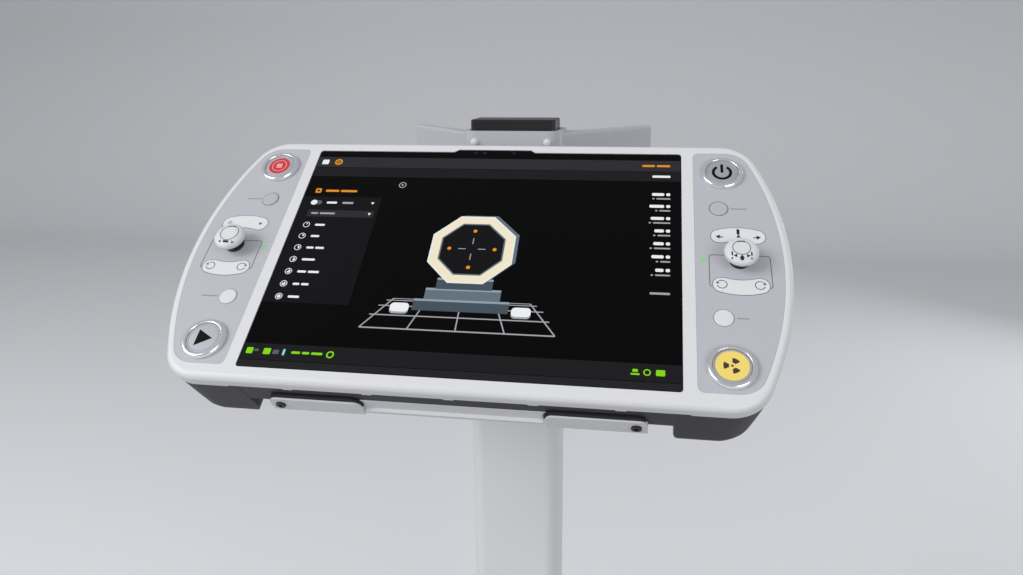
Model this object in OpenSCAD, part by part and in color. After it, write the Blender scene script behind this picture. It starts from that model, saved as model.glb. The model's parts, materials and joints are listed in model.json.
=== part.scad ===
// Control console of a mobile scanner, in the dock of its floor stand.
// Origin: on the floor under the middle of the base. +Z up, the operator stands on the -Y side.
// The console is drawn in its own panel frame (x right, y up the panel, z out of the glass)
// and in_panel() leans that frame back over the dock.

/* [Place] */
// Lean of the panel from horizontal, degrees
panel_tilt = 38; // [30:1:50]
// Height of the middle of the glass above the floor
panel_height = 1000; // [900:5:1200]
// Distance from the middle of the glass back to the front face of the post
post_reach = 137.6; // [132:0.2:170]

/* [Console] */
// Width of the console across the middle
panel_w = 394; // [388:1:420]
// Height of the console along the panel
panel_h = 202; // [200:1:215]
// Radius of the bowed ends
side_r = 220; // [200:5:400]
// Radius of the four corners in plan
corner_r = 25; // [22:1:32]
// Rounding of the front rim
rim_r = 4; // [3:0.5:5]
// Wall of the front and rear shells
shell_wall = 3; // [2.4:0.2:3.6]
// Depth of the white front shell below the glass
parting_depth = 7.5; // [7:0.5:9]
// Depth of the rear shell over the dock tongue
recess_depth = 16; // [15.5:0.5:18]
// Depth of the rear shell over the battery bays
body_depth = 25; // [24:0.5:30]
// Depth of the hand grips
grip_depth = 43.5; // [40:0.5:48]
// Half width of the rear body between the grips
body_half = 127; // [125:0.5:127.5]
// Width of the recess that takes the dock tongue
recess_w = 114; // [100:1:116]

/* [Screen] */
// Width of the cover glass
glass_w = 262; // [258:1:264]
// Height of the cover glass
glass_h = 183.2; // [178:0.2:184]
// Thickness of the cover glass
glass_t = 1.6; // [1.2:0.1:2]
// Thickness of the display module
display_t = 5; // [4:0.5:5.5]
// Thickness of the metal mid frame
chassis_t = 2; // [1.5:0.5:2.5]

/* [Controls] */
// Half spacing of the four push buttons across the console
button_x = 157.6; // [156:0.2:158]
// Half spacing of the four push buttons along the panel
button_y = 74; // [70:0.5:76]
// Outer diameter of a push button bezel
bezel_d = 28; // [27:0.5:30]
// Height of a bezel above the overlay
bezel_h = 2.8; // [2:0.2:4]
// Diameter of the moving push button cap
cap_d = 21.4; // [19:0.2:22]
// Travel of a push button
button_travel = 1.8; // [1:0.1:2]
// Half spacing of the small keys across the console
key_x = 154.6; // [152:0.2:156]
// Half spacing of the small keys along the panel
key_y = 42.2; // [38:0.2:44]
// Diameter of a small key
key_d = 11.2; // [10:0.2:12]
// Travel of a small key
key_travel = 0.6; // [0.3:0.1:0.8]
// Distance of each joystick from the middle of the console
stick_x = 165.5; // [163:0.5:167]
// Diameter of the joystick cap
stick_cap_d = 20.5; // [18:0.5:22]
// Height of the top of the joystick cap above the glass
stick_top = 12.4; // [11:0.2:16]
// Depth of the joystick pivot below the glass
pivot_depth = 7.5; // [7.4:0.1:8]
// Radius of the dome that closes the joystick opening
dome_r = 9.4; // [9.2:0.1:9.6]

/* [Stand] */
// Width of the post
post_w = 81; // [76:1:100]
// Depth of the post
post_d = 56; // [50:1:80]
// Rounding of the post's upright edges
post_r = 12; // [6:1:20]
// Wall of the post
post_wall = 4; // [3:0.5:6]
// Height of the top of the post above the middle of the glass
post_rise = 67; // [60:1:100]
// Width of the base plate
base_w = 460; // [440:10:600]
// Depth of the base plate
base_d = 450; // [440:10:600]
// Thickness of the base plate
base_t = 12; // [10:1:20]
// Height of the levelling feet under the base plate
foot_h = 14; // [12:1:24]
// Half span of the rear handle
handle_half = 113; // [100:1:140]
// Distance that the handle sweeps back behind the post's middle
handle_sweep = 84; // [60:1:100]

/* [Dock] */
// Half width of the dock tray
tray_half = 113.5; // [108:0.5:120]
// Thickness of the tray plate
tray_t = 5; // [4:0.5:7]
// Distance of a lip's inner end from the middle
lip_inner = 55; // [50:0.5:60]
// Thickness of a retaining lip
lip_t = 2.4; // [2:0.2:4]
// Depth of the top edge of a lip below the glass
lip_top = 17; // [14:0.5:20]
// Length of the tray up the back of the console
tray_len = 160; // [150:5:170]

/* [Hidden] */

eps = 0.01;
fine = 64;
run_gap = 0.08;       // running clearance on the radius of a sliding or turning fit
seat_gap = 0.25;      // gap round a piece that drops into a pocket
slice = 0.1;          // thickness of one layer of a lofted shape
corner_steps = 10;    // facets on a corner arc
side_steps = 22;      // facets on a bowed end

// Levels in the panel frame
face_z = 0.4;                         // front face of the white shell
wall_z = face_z - shell_wall;         // inner face of the front wall
part_z = -parting_depth;              // seam between the shells
overlay_t = 0.5;
overlay_z = face_z - 0.1;             // top of the overlay film
overlay_floor = overlay_z - overlay_t;
display_z = -glass_t - display_t;     // back of the display
chassis_z = display_z - chassis_t;    // back of the mid frame

// Plan of the bowed outline
side_cx = panel_w / 2 - side_r;
fil_y = panel_h / 2 - corner_r;
fil_x = side_cx + sqrt(pow(side_r - corner_r, 2) - pow(fil_y, 2));
fil_a = atan2(fil_y, fil_x - side_cx);

function arc(cx, cy, r, a0, a1, n) =
  [for (i = [0:n]) let (a = a0 + (a1 - a0) * i / n) [cx + r * cos(a), cy + r * sin(a)]];
function reversed(p) = [for (i = [len(p) - 1:-1:0]) p[i]];
function flipped(p) = [for (q = reversed(p)) [-q[0], q[1]]];
function moved(p, x, y) = [for (q = p) [q[0] + x, q[1] + y]];
// Right-hand edge of the outline, from bottom to top, moved in by i
function right_edge(i) = concat(
  arc(fil_x, -fil_y, corner_r - i, -90, -fil_a, corner_steps),
  [for (k = [1:side_steps - 1]) let (a = fil_a * (2 * k / side_steps - 1))
    [side_cx + (side_r - i) * cos(a), (side_r - i) * sin(a)]],
  arc(fil_x, fil_y, corner_r - i, fil_a, 90, corner_steps));
function outline(i) = concat(right_edge(i), flipped(right_edge(i)));
// The part of the outline beyond x0. The draft pulls it in towards x0, most at its far end
function end_region(i, x0, draft = 0) =
  [for (p = concat([[x0, -panel_h / 2 + i]], right_edge(i), [[x0, panel_h / 2 - i]]))
    [p[0] - draft * (p[0] - x0) / (panel_w / 2 - x0), p[1]]];
// Rounded rectangle with half sizes hx and hy
function rrect(hx, hy, r, n = 6) = concat(
  arc(hx - r, -hy + r, r, -90, 0, n), arc(hx - r, hy - r, r, 0, 90, n),
  arc(-hx + r, hy - r, r, 90, 180, n), arc(-hx + r, -hy + r, r, 180, 270, n));

module in_panel() {
  translate([0, -panel_back, panel_height]) rotate([panel_tilt, 0, 0]) children();
}
module slab(points, z0, z1) {
  translate([0, 0, z0]) linear_extrude(z1 - z0) polygon(points);
}
module disc(d, z0, z1, x = 0, y = 0) {
  translate([x, y, z0]) cylinder(d = d, h = z1 - z0, $fn = fine);
}
module both_sides() {
  children();
  mirror([1, 0, 0]) children();
}
// Bar along the object's Y axis from y0 to y1
module rod(d, x, y0, y1, z, sides = 48) {
  translate([x, y0, z]) rotate([-90, 0, 0]) cylinder(d = d, h = y1 - y0, $fn = sides);
}

// Places of the shell screws: two rows under the long edges and one at each end of the grips
bay_in = 60;                          // half width of the block round the dock recess
body_screw = [(bay_in + body_half) / 2 - 3.5, panel_h / 2 - 6.5];
grip_screw_in = 16.6;                 // distance of a grip's screw inside the push buttons
grip_screw = [button_x - grip_screw_in, panel_h / 2 - 12];
screw_spots = [for (x = [-1, 1]) for (y = [-1, 1]) for (s = [body_screw, grip_screw]) [s[0] * x, s[1] * y]];
screw_d = 3;
screw_core = screw_d - 0.5;
screw_head_d = 5.6;
screw_head_h = 2;
screw_seat = 2.6 - body_depth;        // level under the heads in the body
grip_seat = -14;                      // level under the heads in the grips
boss_d = 6.6;
screw_tip_z = wall_z - 0.6;

// Places of what repeats on the panel
button_spots = [[-button_x, button_y], [button_x, button_y], [-button_x, -button_y], [button_x, -button_y]];
key_spots = [[-key_x, key_y], [-key_x, -key_y], [key_x, key_y], [key_x, -key_y]];
light_x = 144;
light_d = 2.4;

// Sizes of the push button parts
barrel_d = cap_d + 3;
barrel_gap = 0.15;
barrel_end = -9;
bezel_top = overlay_z + bezel_h;
cap_skirt = -1.4;
cap_top = bezel_top - 0.7;
cap_floor = cap_skirt - button_travel - 0.4;
groove_d = 19.2;                      // edge of the recess that takes the printed disc
groove_h = 0.3;
stem_d = 6;
stem_end = barrel_end - 1.2;
nut_h = 3;
nut_d = barrel_d + 5;
switch_d = 18;
switch_h = 13;
pin_len = 3;

// Sizes of the small key parts
key_bore = key_d + 2 * run_gap;
key_flange_d = key_d + 2.6;
key_flange_t = 1;
key_flange_z = wall_z - 0.1;
key_top = overlay_z + 0.7;
key_crown = 0.15;
tact = 6;                             // width of the dome switch under a key
tact_z = key_flange_z - key_flange_t - key_travel - 0.1;
key_board_z = tact_z - 1.8;
key_board_t = 1.6;
key_board = [24, 16];
standoff_d = 4;
standoff_x = key_board[0] / 2 - 2.2;

// Sizes of the joystick parts
pivot_z = -pivot_depth;
dome_t = 1.2;
stick_lean = 20;                      // largest lean of a stick, degrees
stick_hole_r = sqrt(pow(dome_r, 2) - pow(overlay_floor - pivot_z, 2)) + 0.25;
stick_clear_r = sqrt(pow(dome_r, 2) - pow(wall_z - pivot_z, 2)) + 0.4;
dome_cover = asin((stick_hole_r - 0.25) / dome_r) + stick_lean + 1.5;
neck_d = 6;
neck_len = 2;                         // how far the neck stops below the top of the cap
cap_seat = 6.4;                       // underside of the stick cap above the glass
yoke_or = 7.6;
yoke_ir = 5.4;
yoke_h = 3;
pin_d = 2;
cross_d = 2.4;
stick_box = 27;
stick_box_wall = 2;
stick_floor = -19.5;
stick_board = 22;

// Sizes of the inner parts
bay_half_y = panel_h / 2 - 7;
recess_top = 40;
battery_gap = 0.3;
battery_end = bay_half_y - 14;
contact_y = -62;
contact = [44, 14];
contact_pitch = 4;
board_t = 1.6;
chip_t = 1.8;

// Places of the dock and the stand
post_back = 118;                      // middle of the post behind the middle of the base
panel_back = post_reach + post_d / 2 - post_back;
post_front_y = post_back - post_d / 2;
post_rear_y = post_back + post_d / 2;
post_top = panel_height + post_rise;
tray_top = -body_depth;
tray_bottom = tray_top - tray_t;
tray_low = -panel_h / 2;
tongue_gap = 1.5;
tongue_top = -recess_depth - 0.3;
tongue_half = recess_w / 2 - tongue_gap;
lip_screw = [tray_half - 6.5, -23.3];
lip_screw_d = 6;
lip_core_d = 2.9;
base_top = foot_h + base_t;
flange_t = 10;
flange = [150, 126];
flange_bolts = [for (x = [-1, 1]) for (y = [-1, 1]) [x * (flange[0] / 2 - 14), y * (flange[1] / 2 - 14)]];
foot_spots = [for (x = [-1, 1]) for (y = [-1, 1]) [x * (base_w / 2 - 45), y * (base_d / 2 - 45)]];

// Console casing
// Each level of a loft is [part of its depth, how far its walls are drawn in, ...]
function level_z(part, depth) = min(part_z - part * (depth - parting_depth), part_z - slice);
module level(points, part, depth) {
  slab(points, level_z(part, depth), level_z(part, depth) + slice);
}
rim_steps = 5;
module rim_hull() hull() {
  slab(outline(0), part_z, part_z + slice);
  for (k = [0:rim_steps]) {
    a = 90 * k / rim_steps;
    z = face_z - rim_r + rim_r * sin(a);
    slab(outline(rim_r * (1 - cos(a))), z - 2 * eps, z);
  }
}
// Tongues of the front rim that lap over the rear shell: wide at the ends, small tabs between
tab_pitch = 49;
tab_w = 6;
tab_drop = 1;
tab_t = 0.9;
step_x = 136;
module rim_tabs(grow) intersection() {
  difference() {
    slab(outline(0), part_z - tab_drop - grow, part_z);
    slab(outline(tab_t + grow), part_z - tab_drop - grow - eps, part_z + eps);
  }
  union() {
    for (k = [-2:2]) translate([k * tab_pitch - tab_w / 2 - grow, -panel_h, part_z - 3])
      cube([tab_w + 2 * grow, 2 * panel_h, 4]);
    both_sides() translate([step_x - grow, -panel_h, part_z - 3]) cube([panel_w, 2 * panel_h, 4]);
  }
}
// Plan of the cover glass: a rounded rectangle with a low bump in the middle of its top edge
bump_w = 59;
bump_h = 2.4;
bump_slant = 3.5;
glass_r = 2;
function glass_outline(g) =
  let (hx = glass_w / 2 + g, hy = glass_h / 2 + g, b = bump_w / 2 + g, r = glass_r)
  concat(
    arc(hx - r, -hy + r, r, -90, 0, 4), arc(hx - r, hy - r, r, 0, 90, 4),
    [[b, hy], [b - bump_slant, hy + bump_h], [bump_slant - b, hy + bump_h], [-b, hy]],
    arc(-hx + r, hy - r, r, 90, 180, 4), arc(-hx + r, -hy + r, r, 180, 270, 4));
window_x = glass_w / 2 - 0.8;
window_y = glass_h / 2 - 3;
// Plan of an overlay film: its outer corners follow the casing, its inner ones are small
overlay_in = 5.5;
overlay_x = 139;
overlay_half_y = 91.8;
overlay_up = 0.7;
overlay_outer_r = 16;
overlay_inner_r = 4;
overlay_span = 60;
module overlay_plan(grow) intersection() {
  offset(r = overlay_outer_r, $fn = fine) offset(delta = -overlay_outer_r) intersection() {
    polygon(end_region(overlay_in - grow, overlay_x - overlay_span));
    translate([0, overlay_up]) square([2 * panel_w, 2 * (overlay_half_y + grow)], center = true);
  }
  polygon(moved(rrect(overlay_span + grow, overlay_half_y + grow, overlay_inner_r),
    overlay_x + overlay_span, overlay_up));
}
module front_shell() color("#e0e1e4") in_panel() {
  difference() {
    union() {
      rim_hull();
      rim_tabs(0);
    }
    slab(outline(shell_wall), part_z - 2, wall_z);
    slab(glass_outline(seat_gap), -glass_t, 3);
    slab(rrect(window_x, window_y, glass_r), wall_z - 1, 1);
    both_sides() translate([0, 0, overlay_floor]) linear_extrude(5) overlay_plan(0.1);
    for (p = button_spots) disc(barrel_d + 2 * barrel_gap, wall_z - 1, 2, p[0], p[1]);
    for (p = key_spots) disc(key_bore, wall_z - 1, 2, p[0], p[1]);
    both_sides() disc(2 * stick_clear_r, wall_z - 1, 2, stick_x, 0);
    both_sides() disc(light_d + 0.1, wall_z - 1, 2, light_x, 0);
  }
  // Screw bosses
  for (p = screw_spots) difference() {
    disc(boss_d, part_z + 0.1, wall_z + 0.2, p[0], p[1]);
    disc(screw_core, part_z, screw_tip_z + 0.3, p[0], p[1]);
  }
  // Posts that carry the key boards
  for (p = key_spots) for (s = [-1, 1])
    disc(standoff_d, key_board_z, wall_z + 0.2, p[0] + s * standoff_x, p[1]);
}

// Rear shell: a shallow back behind the rim, a deeper middle and two hand grips
rim_levels = [[0, 0.2], [0.53, 0.8], [0.88, 2.4], [1, 4.4]];
body_levels = [[0, 0.2], [0.83, 0.5], [0.965, 0.8], [1, 1.8]];
// Grip levels also give the draft of the outer and of the inner side
grip_levels = [[0, 0.2, 0, 2.4], [0.24, 0.4, 2, 1.6], [0.62, 0.6, 4, 0.4], [0.76, 0.7, 5.1, 0],
  [0.875, 0.8, 6, 0.8], [0.95, 1.3, 9.2, 2.6], [1, 4, 15, 6.5]];
grip_lap = 8;                         // how far the middle runs into the grips
body_corner = 6;
grip_floor = shell_wall + 1;
module rear_rim_hull() hull() for (l = rim_levels) level(outline(l[1]), l[0], recess_depth);
module rear_body_hull() hull() for (l = body_levels)
  level(rrect(body_half + grip_lap - l[1], panel_h / 2 - l[1], body_corner), l[0], body_depth);
module grip_hull() hull() for (l = grip_levels)
  level(end_region(l[1], body_half + 1 + l[3], l[2]), l[0], grip_depth);
module grip_hollow() hull() {
  slab(end_region(shell_wall, body_half + 5), part_z, part_z + 1);
  slab(end_region(shell_wall + 2, body_half + grip_lap, grip_lap), grip_floor - grip_depth,
    grip_floor + slice - grip_depth);
}
gasket_in = 1.1;
gasket_w = 1.1;
gasket_h = 1.2;
module rear_shell() color("#3f3f43") in_panel() difference() {
  union() {
    rear_rim_hull();
    rear_body_hull();
    both_sides() grip_hull();
  }
  // Recess that drops over the dock tongue
  translate([-recess_w / 2, -panel_h, -body_depth - 1])
    cube([recess_w, panel_h + recess_top, body_depth + 1 - recess_depth]);
  // Inside
  difference() {
    union() {
      slab(outline(shell_wall), -recess_depth + shell_wall, part_z + 1);
      translate([-body_half + shell_wall, -bay_half_y, shell_wall - body_depth])
        cube([2 * (body_half - shell_wall), 2 * bay_half_y, body_depth]);
      both_sides() grip_hollow();
    }
    // Floor and side walls of the dock recess
    translate([-bay_in, -panel_h, -body_depth])
      cube([2 * bay_in, panel_h + recess_top + shell_wall, body_depth + shell_wall - recess_depth]);
    // Columns of the shell screws
    for (p = screw_spots) disc(boss_d + 1.4, -grip_depth, part_z, p[0], p[1]);
  }
  for (p = screw_spots) {
    disc(screw_d + 0.2, -grip_depth - 1, part_z + 2, p[0], p[1]);
    disc(screw_head_d + 0.4, -grip_depth - 1, seat_of(p), p[0], p[1]);
  }
  // Groove of the gasket
  difference() {
    slab(outline(gasket_in), part_z - gasket_h, part_z + 1);
    slab(outline(gasket_in + gasket_w), part_z - gasket_h - 1, part_z + 2);
  }
  rim_tabs(0.1);
  // Window of the charging contacts
  translate([-contact[0] / 2, contact_y - contact[1] / 2, -recess_depth - 1])
    cube([contact[0], contact[1], 6]);
}
function seat_of(p) = abs(p[0]) > body_half ? grip_seat : screw_seat;
module shell_gasket() color("#1c1c1e") in_panel() difference() {
  slab(outline(gasket_in), part_z - gasket_h, part_z);
  slab(outline(gasket_in + gasket_w), part_z - gasket_h - 1, part_z + 1);
}
module shell_screws() color("#8b8d90") in_panel() for (p = screw_spots) difference() {
  union() {
    disc(screw_head_d, seat_of(p) - screw_head_h, seat_of(p), p[0], p[1]);
    disc(screw_core, seat_of(p), screw_tip_z, p[0], p[1]);
  }
  disc(2.2, seat_of(p) - screw_head_h - 1, seat_of(p) - 0.9, p[0], p[1]);
}

// Screen and inner parts
notch = [50, 4, 1.6];                 // lead-in of the display cable
module cover_glass() color("#0b0b0d") in_panel() slab(glass_outline(0), -glass_t, 0);
module display_module() color("#2c2d30") in_panel() difference() {
  slab(rrect(window_x - 0.3, window_y - 0.3, glass_r - 0.5), display_z, -glass_t);
  translate([-notch[0] / 2, -window_y, display_z - 1]) cube([notch[0], notch[1], notch[2] + 1]);
}
chassis_half = [glass_w / 2 + 3, glass_h / 2 - 3.6];
chassis_holes = [for (x = [-0.71, -0.24, 0.24, 0.71]) for (y = [-0.57, 0.11, 0.68])
  [x * chassis_half[0], y * chassis_half[1]]];
chassis_hole = [20, 14];
module main_chassis() color("#a9acb0") in_panel() difference() {
  slab(rrect(chassis_half[0], chassis_half[1], 5), chassis_z, display_z);
  for (h = chassis_holes)
    slab(moved(rrect(chassis_hole[0], chassis_hole[1], 5, 2), h[0], h[1]), chassis_z - 1, display_z + 1);
}
// Chips on the logic board: [x, y, half width, half height]
chips = [[-28, 34, 12, 12], [14, 30, 16, 16], [-30, -20, 10, 14], [24, -24, 12, 8], [0, 62, 24, 6]];
board_z = chassis_z - board_t;
module logic_board() color("#1f5a3a") in_panel() {
  slab(rrect(bay_in - 6, battery_end, 3), board_z, chassis_z);
  for (c = chips) slab(moved(rrect(c[2], c[3], 1, 2), c[0], c[1]), board_z - chip_t, board_z);
}
battery_x0 = bay_in + 4;
battery_x1 = body_half - shell_wall - 2;
battery_x = (battery_x0 + battery_x1) / 2;
module battery() slab(moved(rrect(battery_x1 - battery_x, battery_end, 4), battery_x, 0),
  shell_wall - body_depth, chassis_z - battery_gap);
module left_battery() color("#26282c") in_panel() mirror([1, 0, 0]) battery();
module right_battery() color("#26282c") in_panel() battery();
module contact_plate() color("#26262a") in_panel() {
  top = -recess_depth + shell_wall;
  slab(moved(rrect(contact[0] / 2, contact[1] / 2, 0.1, 1), 0, contact_y), -recess_depth, top);
  for (k = [-4:4]) disc(2.2, top, top + 0.5, k * contact_pitch, contact_y);
}

// Overlays and lights
module overlay() difference() {
  translate([0, 0, overlay_floor]) linear_extrude(overlay_t) overlay_plan(0);
  for (y = [-button_y, button_y]) disc(barrel_d + 2 * barrel_gap, -5, 5, button_x, y);
  for (y = [-key_y, key_y]) disc(key_bore, -5, 5, key_x, y);
  disc(2 * stick_hole_r, -5, 5, stick_x, 0);
  disc(light_d + 0.1, -5, 5, light_x, 0);
}
module left_overlay() color("#babac2") in_panel() mirror([1, 0, 0]) overlay();
module right_overlay() color("#babac2") in_panel() overlay();
module status_lights() color("#54d454") in_panel()
  both_sides() disc(light_d, part_z, overlay_z + 0.1, light_x, 0);

// Push buttons
module bezel(p) color("#d8dade") in_panel() translate([p[0], p[1], 0]) {
  bore = cap_d / 2 + run_gap;
  guide = stem_d / 2 + run_gap;
  rotate_extrude($fn = 96) polygon([
    [bore, cap_floor], [bore, bezel_top - 0.5], [bore + 0.4, bezel_top], [bore + 0.9, bezel_top],
    [bezel_d / 2 - 0.6, overlay_z + 1.3], [bezel_d / 2, overlay_z + 0.6], [bezel_d / 2, overlay_z],
    [barrel_d / 2, overlay_z], [barrel_d / 2, barrel_end], [guide, barrel_end], [guide, cap_floor]]);
}
module push_cap(p) color("#cfd1d6") in_panel() translate([p[0], p[1], 0]) {
  r = cap_d / 2;
  rotate_extrude($fn = 96) polygon([
    [0, stem_end], [stem_d / 2, stem_end], [stem_d / 2, cap_skirt], [r, cap_skirt], [r, cap_top - 0.4],
    [r - 0.4, cap_top], [groove_d / 2, cap_top], [groove_d / 2 - groove_h, cap_top - groove_h],
    [0, cap_top - groove_h]]);
}
module stop_bezel() bezel(button_spots[0]);
module power_bezel() bezel(button_spots[1]);
module start_bezel() bezel(button_spots[2]);
module exposure_bezel() bezel(button_spots[3]);
module stop_cap() push_cap(button_spots[0]);
module power_cap() push_cap(button_spots[1]);
module start_cap() push_cap(button_spots[2]);
module exposure_cap() push_cap(button_spots[3]);
module bezel_nuts() color("#9a9ca0") in_panel() for (p = button_spots) difference() {
  translate([p[0], p[1], wall_z - nut_h]) cylinder(d = nut_d, h = nut_h, $fn = 6);
  disc(barrel_d, wall_z - nut_h - 1, wall_z + 1, p[0], p[1]);
}
module switch_blocks() color("#2a2a2e") in_panel() for (p = button_spots) difference() {
  union() {
    disc(switch_d, barrel_end - switch_h, barrel_end, p[0], p[1]);
    // Solder tags
    for (a = [0:90:270]) translate([p[0], p[1], barrel_end - switch_h - pin_len]) rotate([0, 0, a])
      translate([4, -0.4, 0]) cube([2, 0.8, pin_len + 0.5]);
  }
  disc(stem_d + 1, stem_end - button_travel - 0.4, barrel_end + 1, p[0], p[1]);
}

// Small keys
module small_key(p) in_panel() translate([p[0], p[1], 0]) rotate_extrude($fn = fine) polygon([
  [0, key_flange_z - key_flange_t], [key_flange_d / 2, key_flange_z - key_flange_t],
  [key_flange_d / 2, key_flange_z], [key_d / 2, key_flange_z], [key_d / 2, key_top - 0.35],
  [key_d / 2 - 0.5, key_top], [0, key_top + key_crown]]);
module upper_left_key() color("#b6b7be") small_key(key_spots[0]);
module lower_left_key() color("#e6e7ea") small_key(key_spots[1]);
module upper_right_key() color("#b6b7be") small_key(key_spots[2]);
module lower_right_key() color("#e6e7ea") small_key(key_spots[3]);
module key_boards() color("#1f5a3a") in_panel() for (p = key_spots) {
  slab(moved(rrect(key_board[0] / 2, key_board[1] / 2, 1.5, 2), p[0], p[1]),
    key_board_z - key_board_t, key_board_z);
  translate([p[0] - tact / 2, p[1] - tact / 2, key_board_z - eps]) cube([tact, tact, tact_z - key_board_z]);
}

// Joysticks: a housing, a ring that leans forwards and back, a domed shaft that leans sideways, and a cap
module stick_housing() difference() {
  inner = stick_box - 2 * stick_box_wall;
  union() {
    translate([stick_x - stick_box / 2, -stick_box / 2, stick_floor])
      cube([stick_box, stick_box, wall_z - stick_floor]);
    // Sensor board under the floor
    translate([stick_x - stick_board / 2, -stick_board / 2, stick_floor - board_t])
      cube([stick_board, stick_board, board_t + 0.1]);
  }
  translate([stick_x - inner / 2, -inner / 2, stick_floor + 1.5]) cube([inner, inner, 40]);
  translate([stick_x, 0, pivot_z]) rotate([0, 90, 0])
    cylinder(d = pin_d + 2 * run_gap, h = stick_box + 2, center = true, $fn = 32);
}
module stick_yoke() translate([stick_x, 0, pivot_z]) difference() {
  pin_x = yoke_ir + 0.5;
  union() {
    difference() {
      translate([0, 0, -yoke_h / 2]) cylinder(r = yoke_or, h = yoke_h, $fn = fine);
      translate([0, 0, -yoke_h]) cylinder(r = yoke_ir, h = 2 * yoke_h, $fn = fine);
    }
    both_sides() translate([pin_x, 0, 0]) rotate([0, 90, 0])
      cylinder(d = pin_d, h = stick_box / 2 - 0.4 - pin_x, $fn = 32);
  }
  rotate([90, 0, 0]) cylinder(d = cross_d + 2 * run_gap, h = 2 * yoke_or + 2, center = true, $fn = 32);
}
stem_r = 2.2;
stem_low = -8;
function on_dome(r, a) = [r * sin(a), r * cos(a)];
module stick_shaft() translate([stick_x, 0, pivot_z]) {
  // Stem, dome and neck are one turned piece, so the cross pin joins it
  inner = dome_r - dome_t;
  neck_top = stick_top - neck_len - pivot_z;
  rotate_extrude($fn = fine) polygon(concat(
    [[0, stem_low], [stem_r, stem_low], [stem_r, inner - 0.6]],
    [for (a = [14:6:dome_cover]) on_dome(inner, a)],
    [on_dome(inner, dome_cover), on_dome(dome_r, dome_cover)],
    [for (a = [floor(dome_cover) - 2:-4:22]) on_dome(dome_r, a)],
    [[neck_d / 2, dome_r - 0.2], [neck_d / 2, neck_top], [0, neck_top]]));
  rotate([90, 0, 0]) cylinder(d = cross_d, h = 2 * yoke_or, center = true, $fn = 32);
}
knob_rim = 2.6;                       // radius of the cap's rounded rim
collar_r = 4.6;
module stick_cap() translate([stick_x, 0, 0]) {
  r = stick_cap_d / 2;
  bore = neck_d / 2 + run_gap;
  bore_top = stick_top - neck_len + run_gap;
  mid = (cap_seat + stick_top) / 2 - 0.4;
  rotate_extrude($fn = 96) polygon(concat(
    [[bore, cap_seat - 1.2], [collar_r, cap_seat - 1.2], [collar_r + 0.6, cap_seat]],
    [for (a = [-80:16:64])
      [r - knob_rim + knob_rim * cos(a), mid + knob_rim * sin(a) * (a > 0 ? 1.0 : 0.92)]],
    [[r - 2.4, stick_top - 0.5], [r - 4.2, stick_top - 0.05], [r - 6, stick_top], [0, stick_top],
     [0, bore_top], [bore, bore_top]]));
}
module left_side() in_panel() mirror([1, 0, 0]) children();
module left_stick_housing() color("#2a2a2e") left_side() stick_housing();
module left_stick_yoke() color("#9a9ca0") left_side() stick_yoke();
module left_stick_shaft() color("#161618") left_side() stick_shaft();
module left_stick_cap() color("#dcdde0") left_side() stick_cap();
module right_stick_housing() color("#2a2a2e") in_panel() stick_housing();
module right_stick_yoke() color("#9a9ca0") in_panel() stick_yoke();
module right_stick_shaft() color("#161618") in_panel() stick_shaft();
module right_stick_cap() color("#dcdde0") in_panel() stick_cap();

// Dock: a leaning tray with a tongue and two lips
lip_corner = 5;
relief_w = 1.2;                       // notch that frees the bent lip from the edge beside it
relief_deep = 3;
ledge_t = 2.4;                        // thickness of the tray's edge between the lips
ledge_deep = 8;
tray_bolts = [[-20, -30], [20, -30], [-20, 28], [20, 28]];
tray_bolt_d = 4;
tray_head_d = 7.6;
tray_head_h = 4;
tray_seat = tongue_top - tray_head_h - 0.6;
module lip() translate([0, tray_low, 0]) rotate([90, 0, 0]) linear_extrude(lip_t) polygon(concat(
  [[tray_half, tray_bottom]],
  arc(tray_half - lip_corner, -lip_top - lip_corner, lip_corner, 0, 90, 6),
  arc(lip_inner + lip_corner, -lip_top - lip_corner, lip_corner, 90, 180, 6),
  [[lip_inner, tray_bottom]]));
module dock_tray() color("#c6c7ca") in_panel() difference() {
  union() {
    translate([-tray_half, tray_low - lip_t, tray_bottom]) cube([2 * tray_half, tray_len + lip_t, tray_t]);
    // Tongue that fills the recess of the console
    translate([-tongue_half, tray_low, tray_bottom])
      cube([2 * tongue_half, recess_top - tongue_gap - tray_low, tongue_top - tray_bottom]);
    both_sides() lip();
  }
  // Relief notches beside the lips, and the thinned edge between them
  both_sides() translate([lip_inner - relief_w, tray_low - lip_t - 1, tray_bottom - 1])
    cube([relief_w, lip_t + relief_deep + 1, tray_t + 2]);
  translate([relief_w - lip_inner, tray_low - lip_t - 1, tray_bottom - 1])
    cube([2 * (lip_inner - relief_w), lip_t + ledge_deep + 1, tray_t - ledge_t + 1]);
  // Pocket of the charging connector
  translate([-contact[0] / 2, contact_y - contact[1] / 2, tray_bottom + 2])
    cube([contact[0], contact[1], 40]);
  both_sides() translate([lip_screw[0], tray_low + 1, lip_screw[1]]) rotate([90, 0, 0])
    cylinder(d = lip_core_d + 0.1, h = lip_t + 2, $fn = 32);
  for (p = tray_bolts) {
    disc(tray_bolt_d + 0.2, tray_bottom - 1, tongue_top + 1, p[0], p[1]);
    disc(tray_head_d + 0.8, tray_seat, tongue_top + 1, p[0], p[1]);
  }
}
module lip_screws() color("#3a3b3f") in_panel()
  both_sides() translate([lip_screw[0], tray_low - lip_t, lip_screw[1]]) {
    rotate([90, 0, 0]) difference() {
      cylinder(d = lip_screw_d, h = 1.2, $fn = 32);
      translate([0, 0, 0.4]) cylinder(d = lip_screw_d / 2, h = 1, $fn = 6);
    }
    rotate([-90, 0, 0]) cylinder(d = lip_core_d, h = lip_t, $fn = 32);
  }
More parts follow.
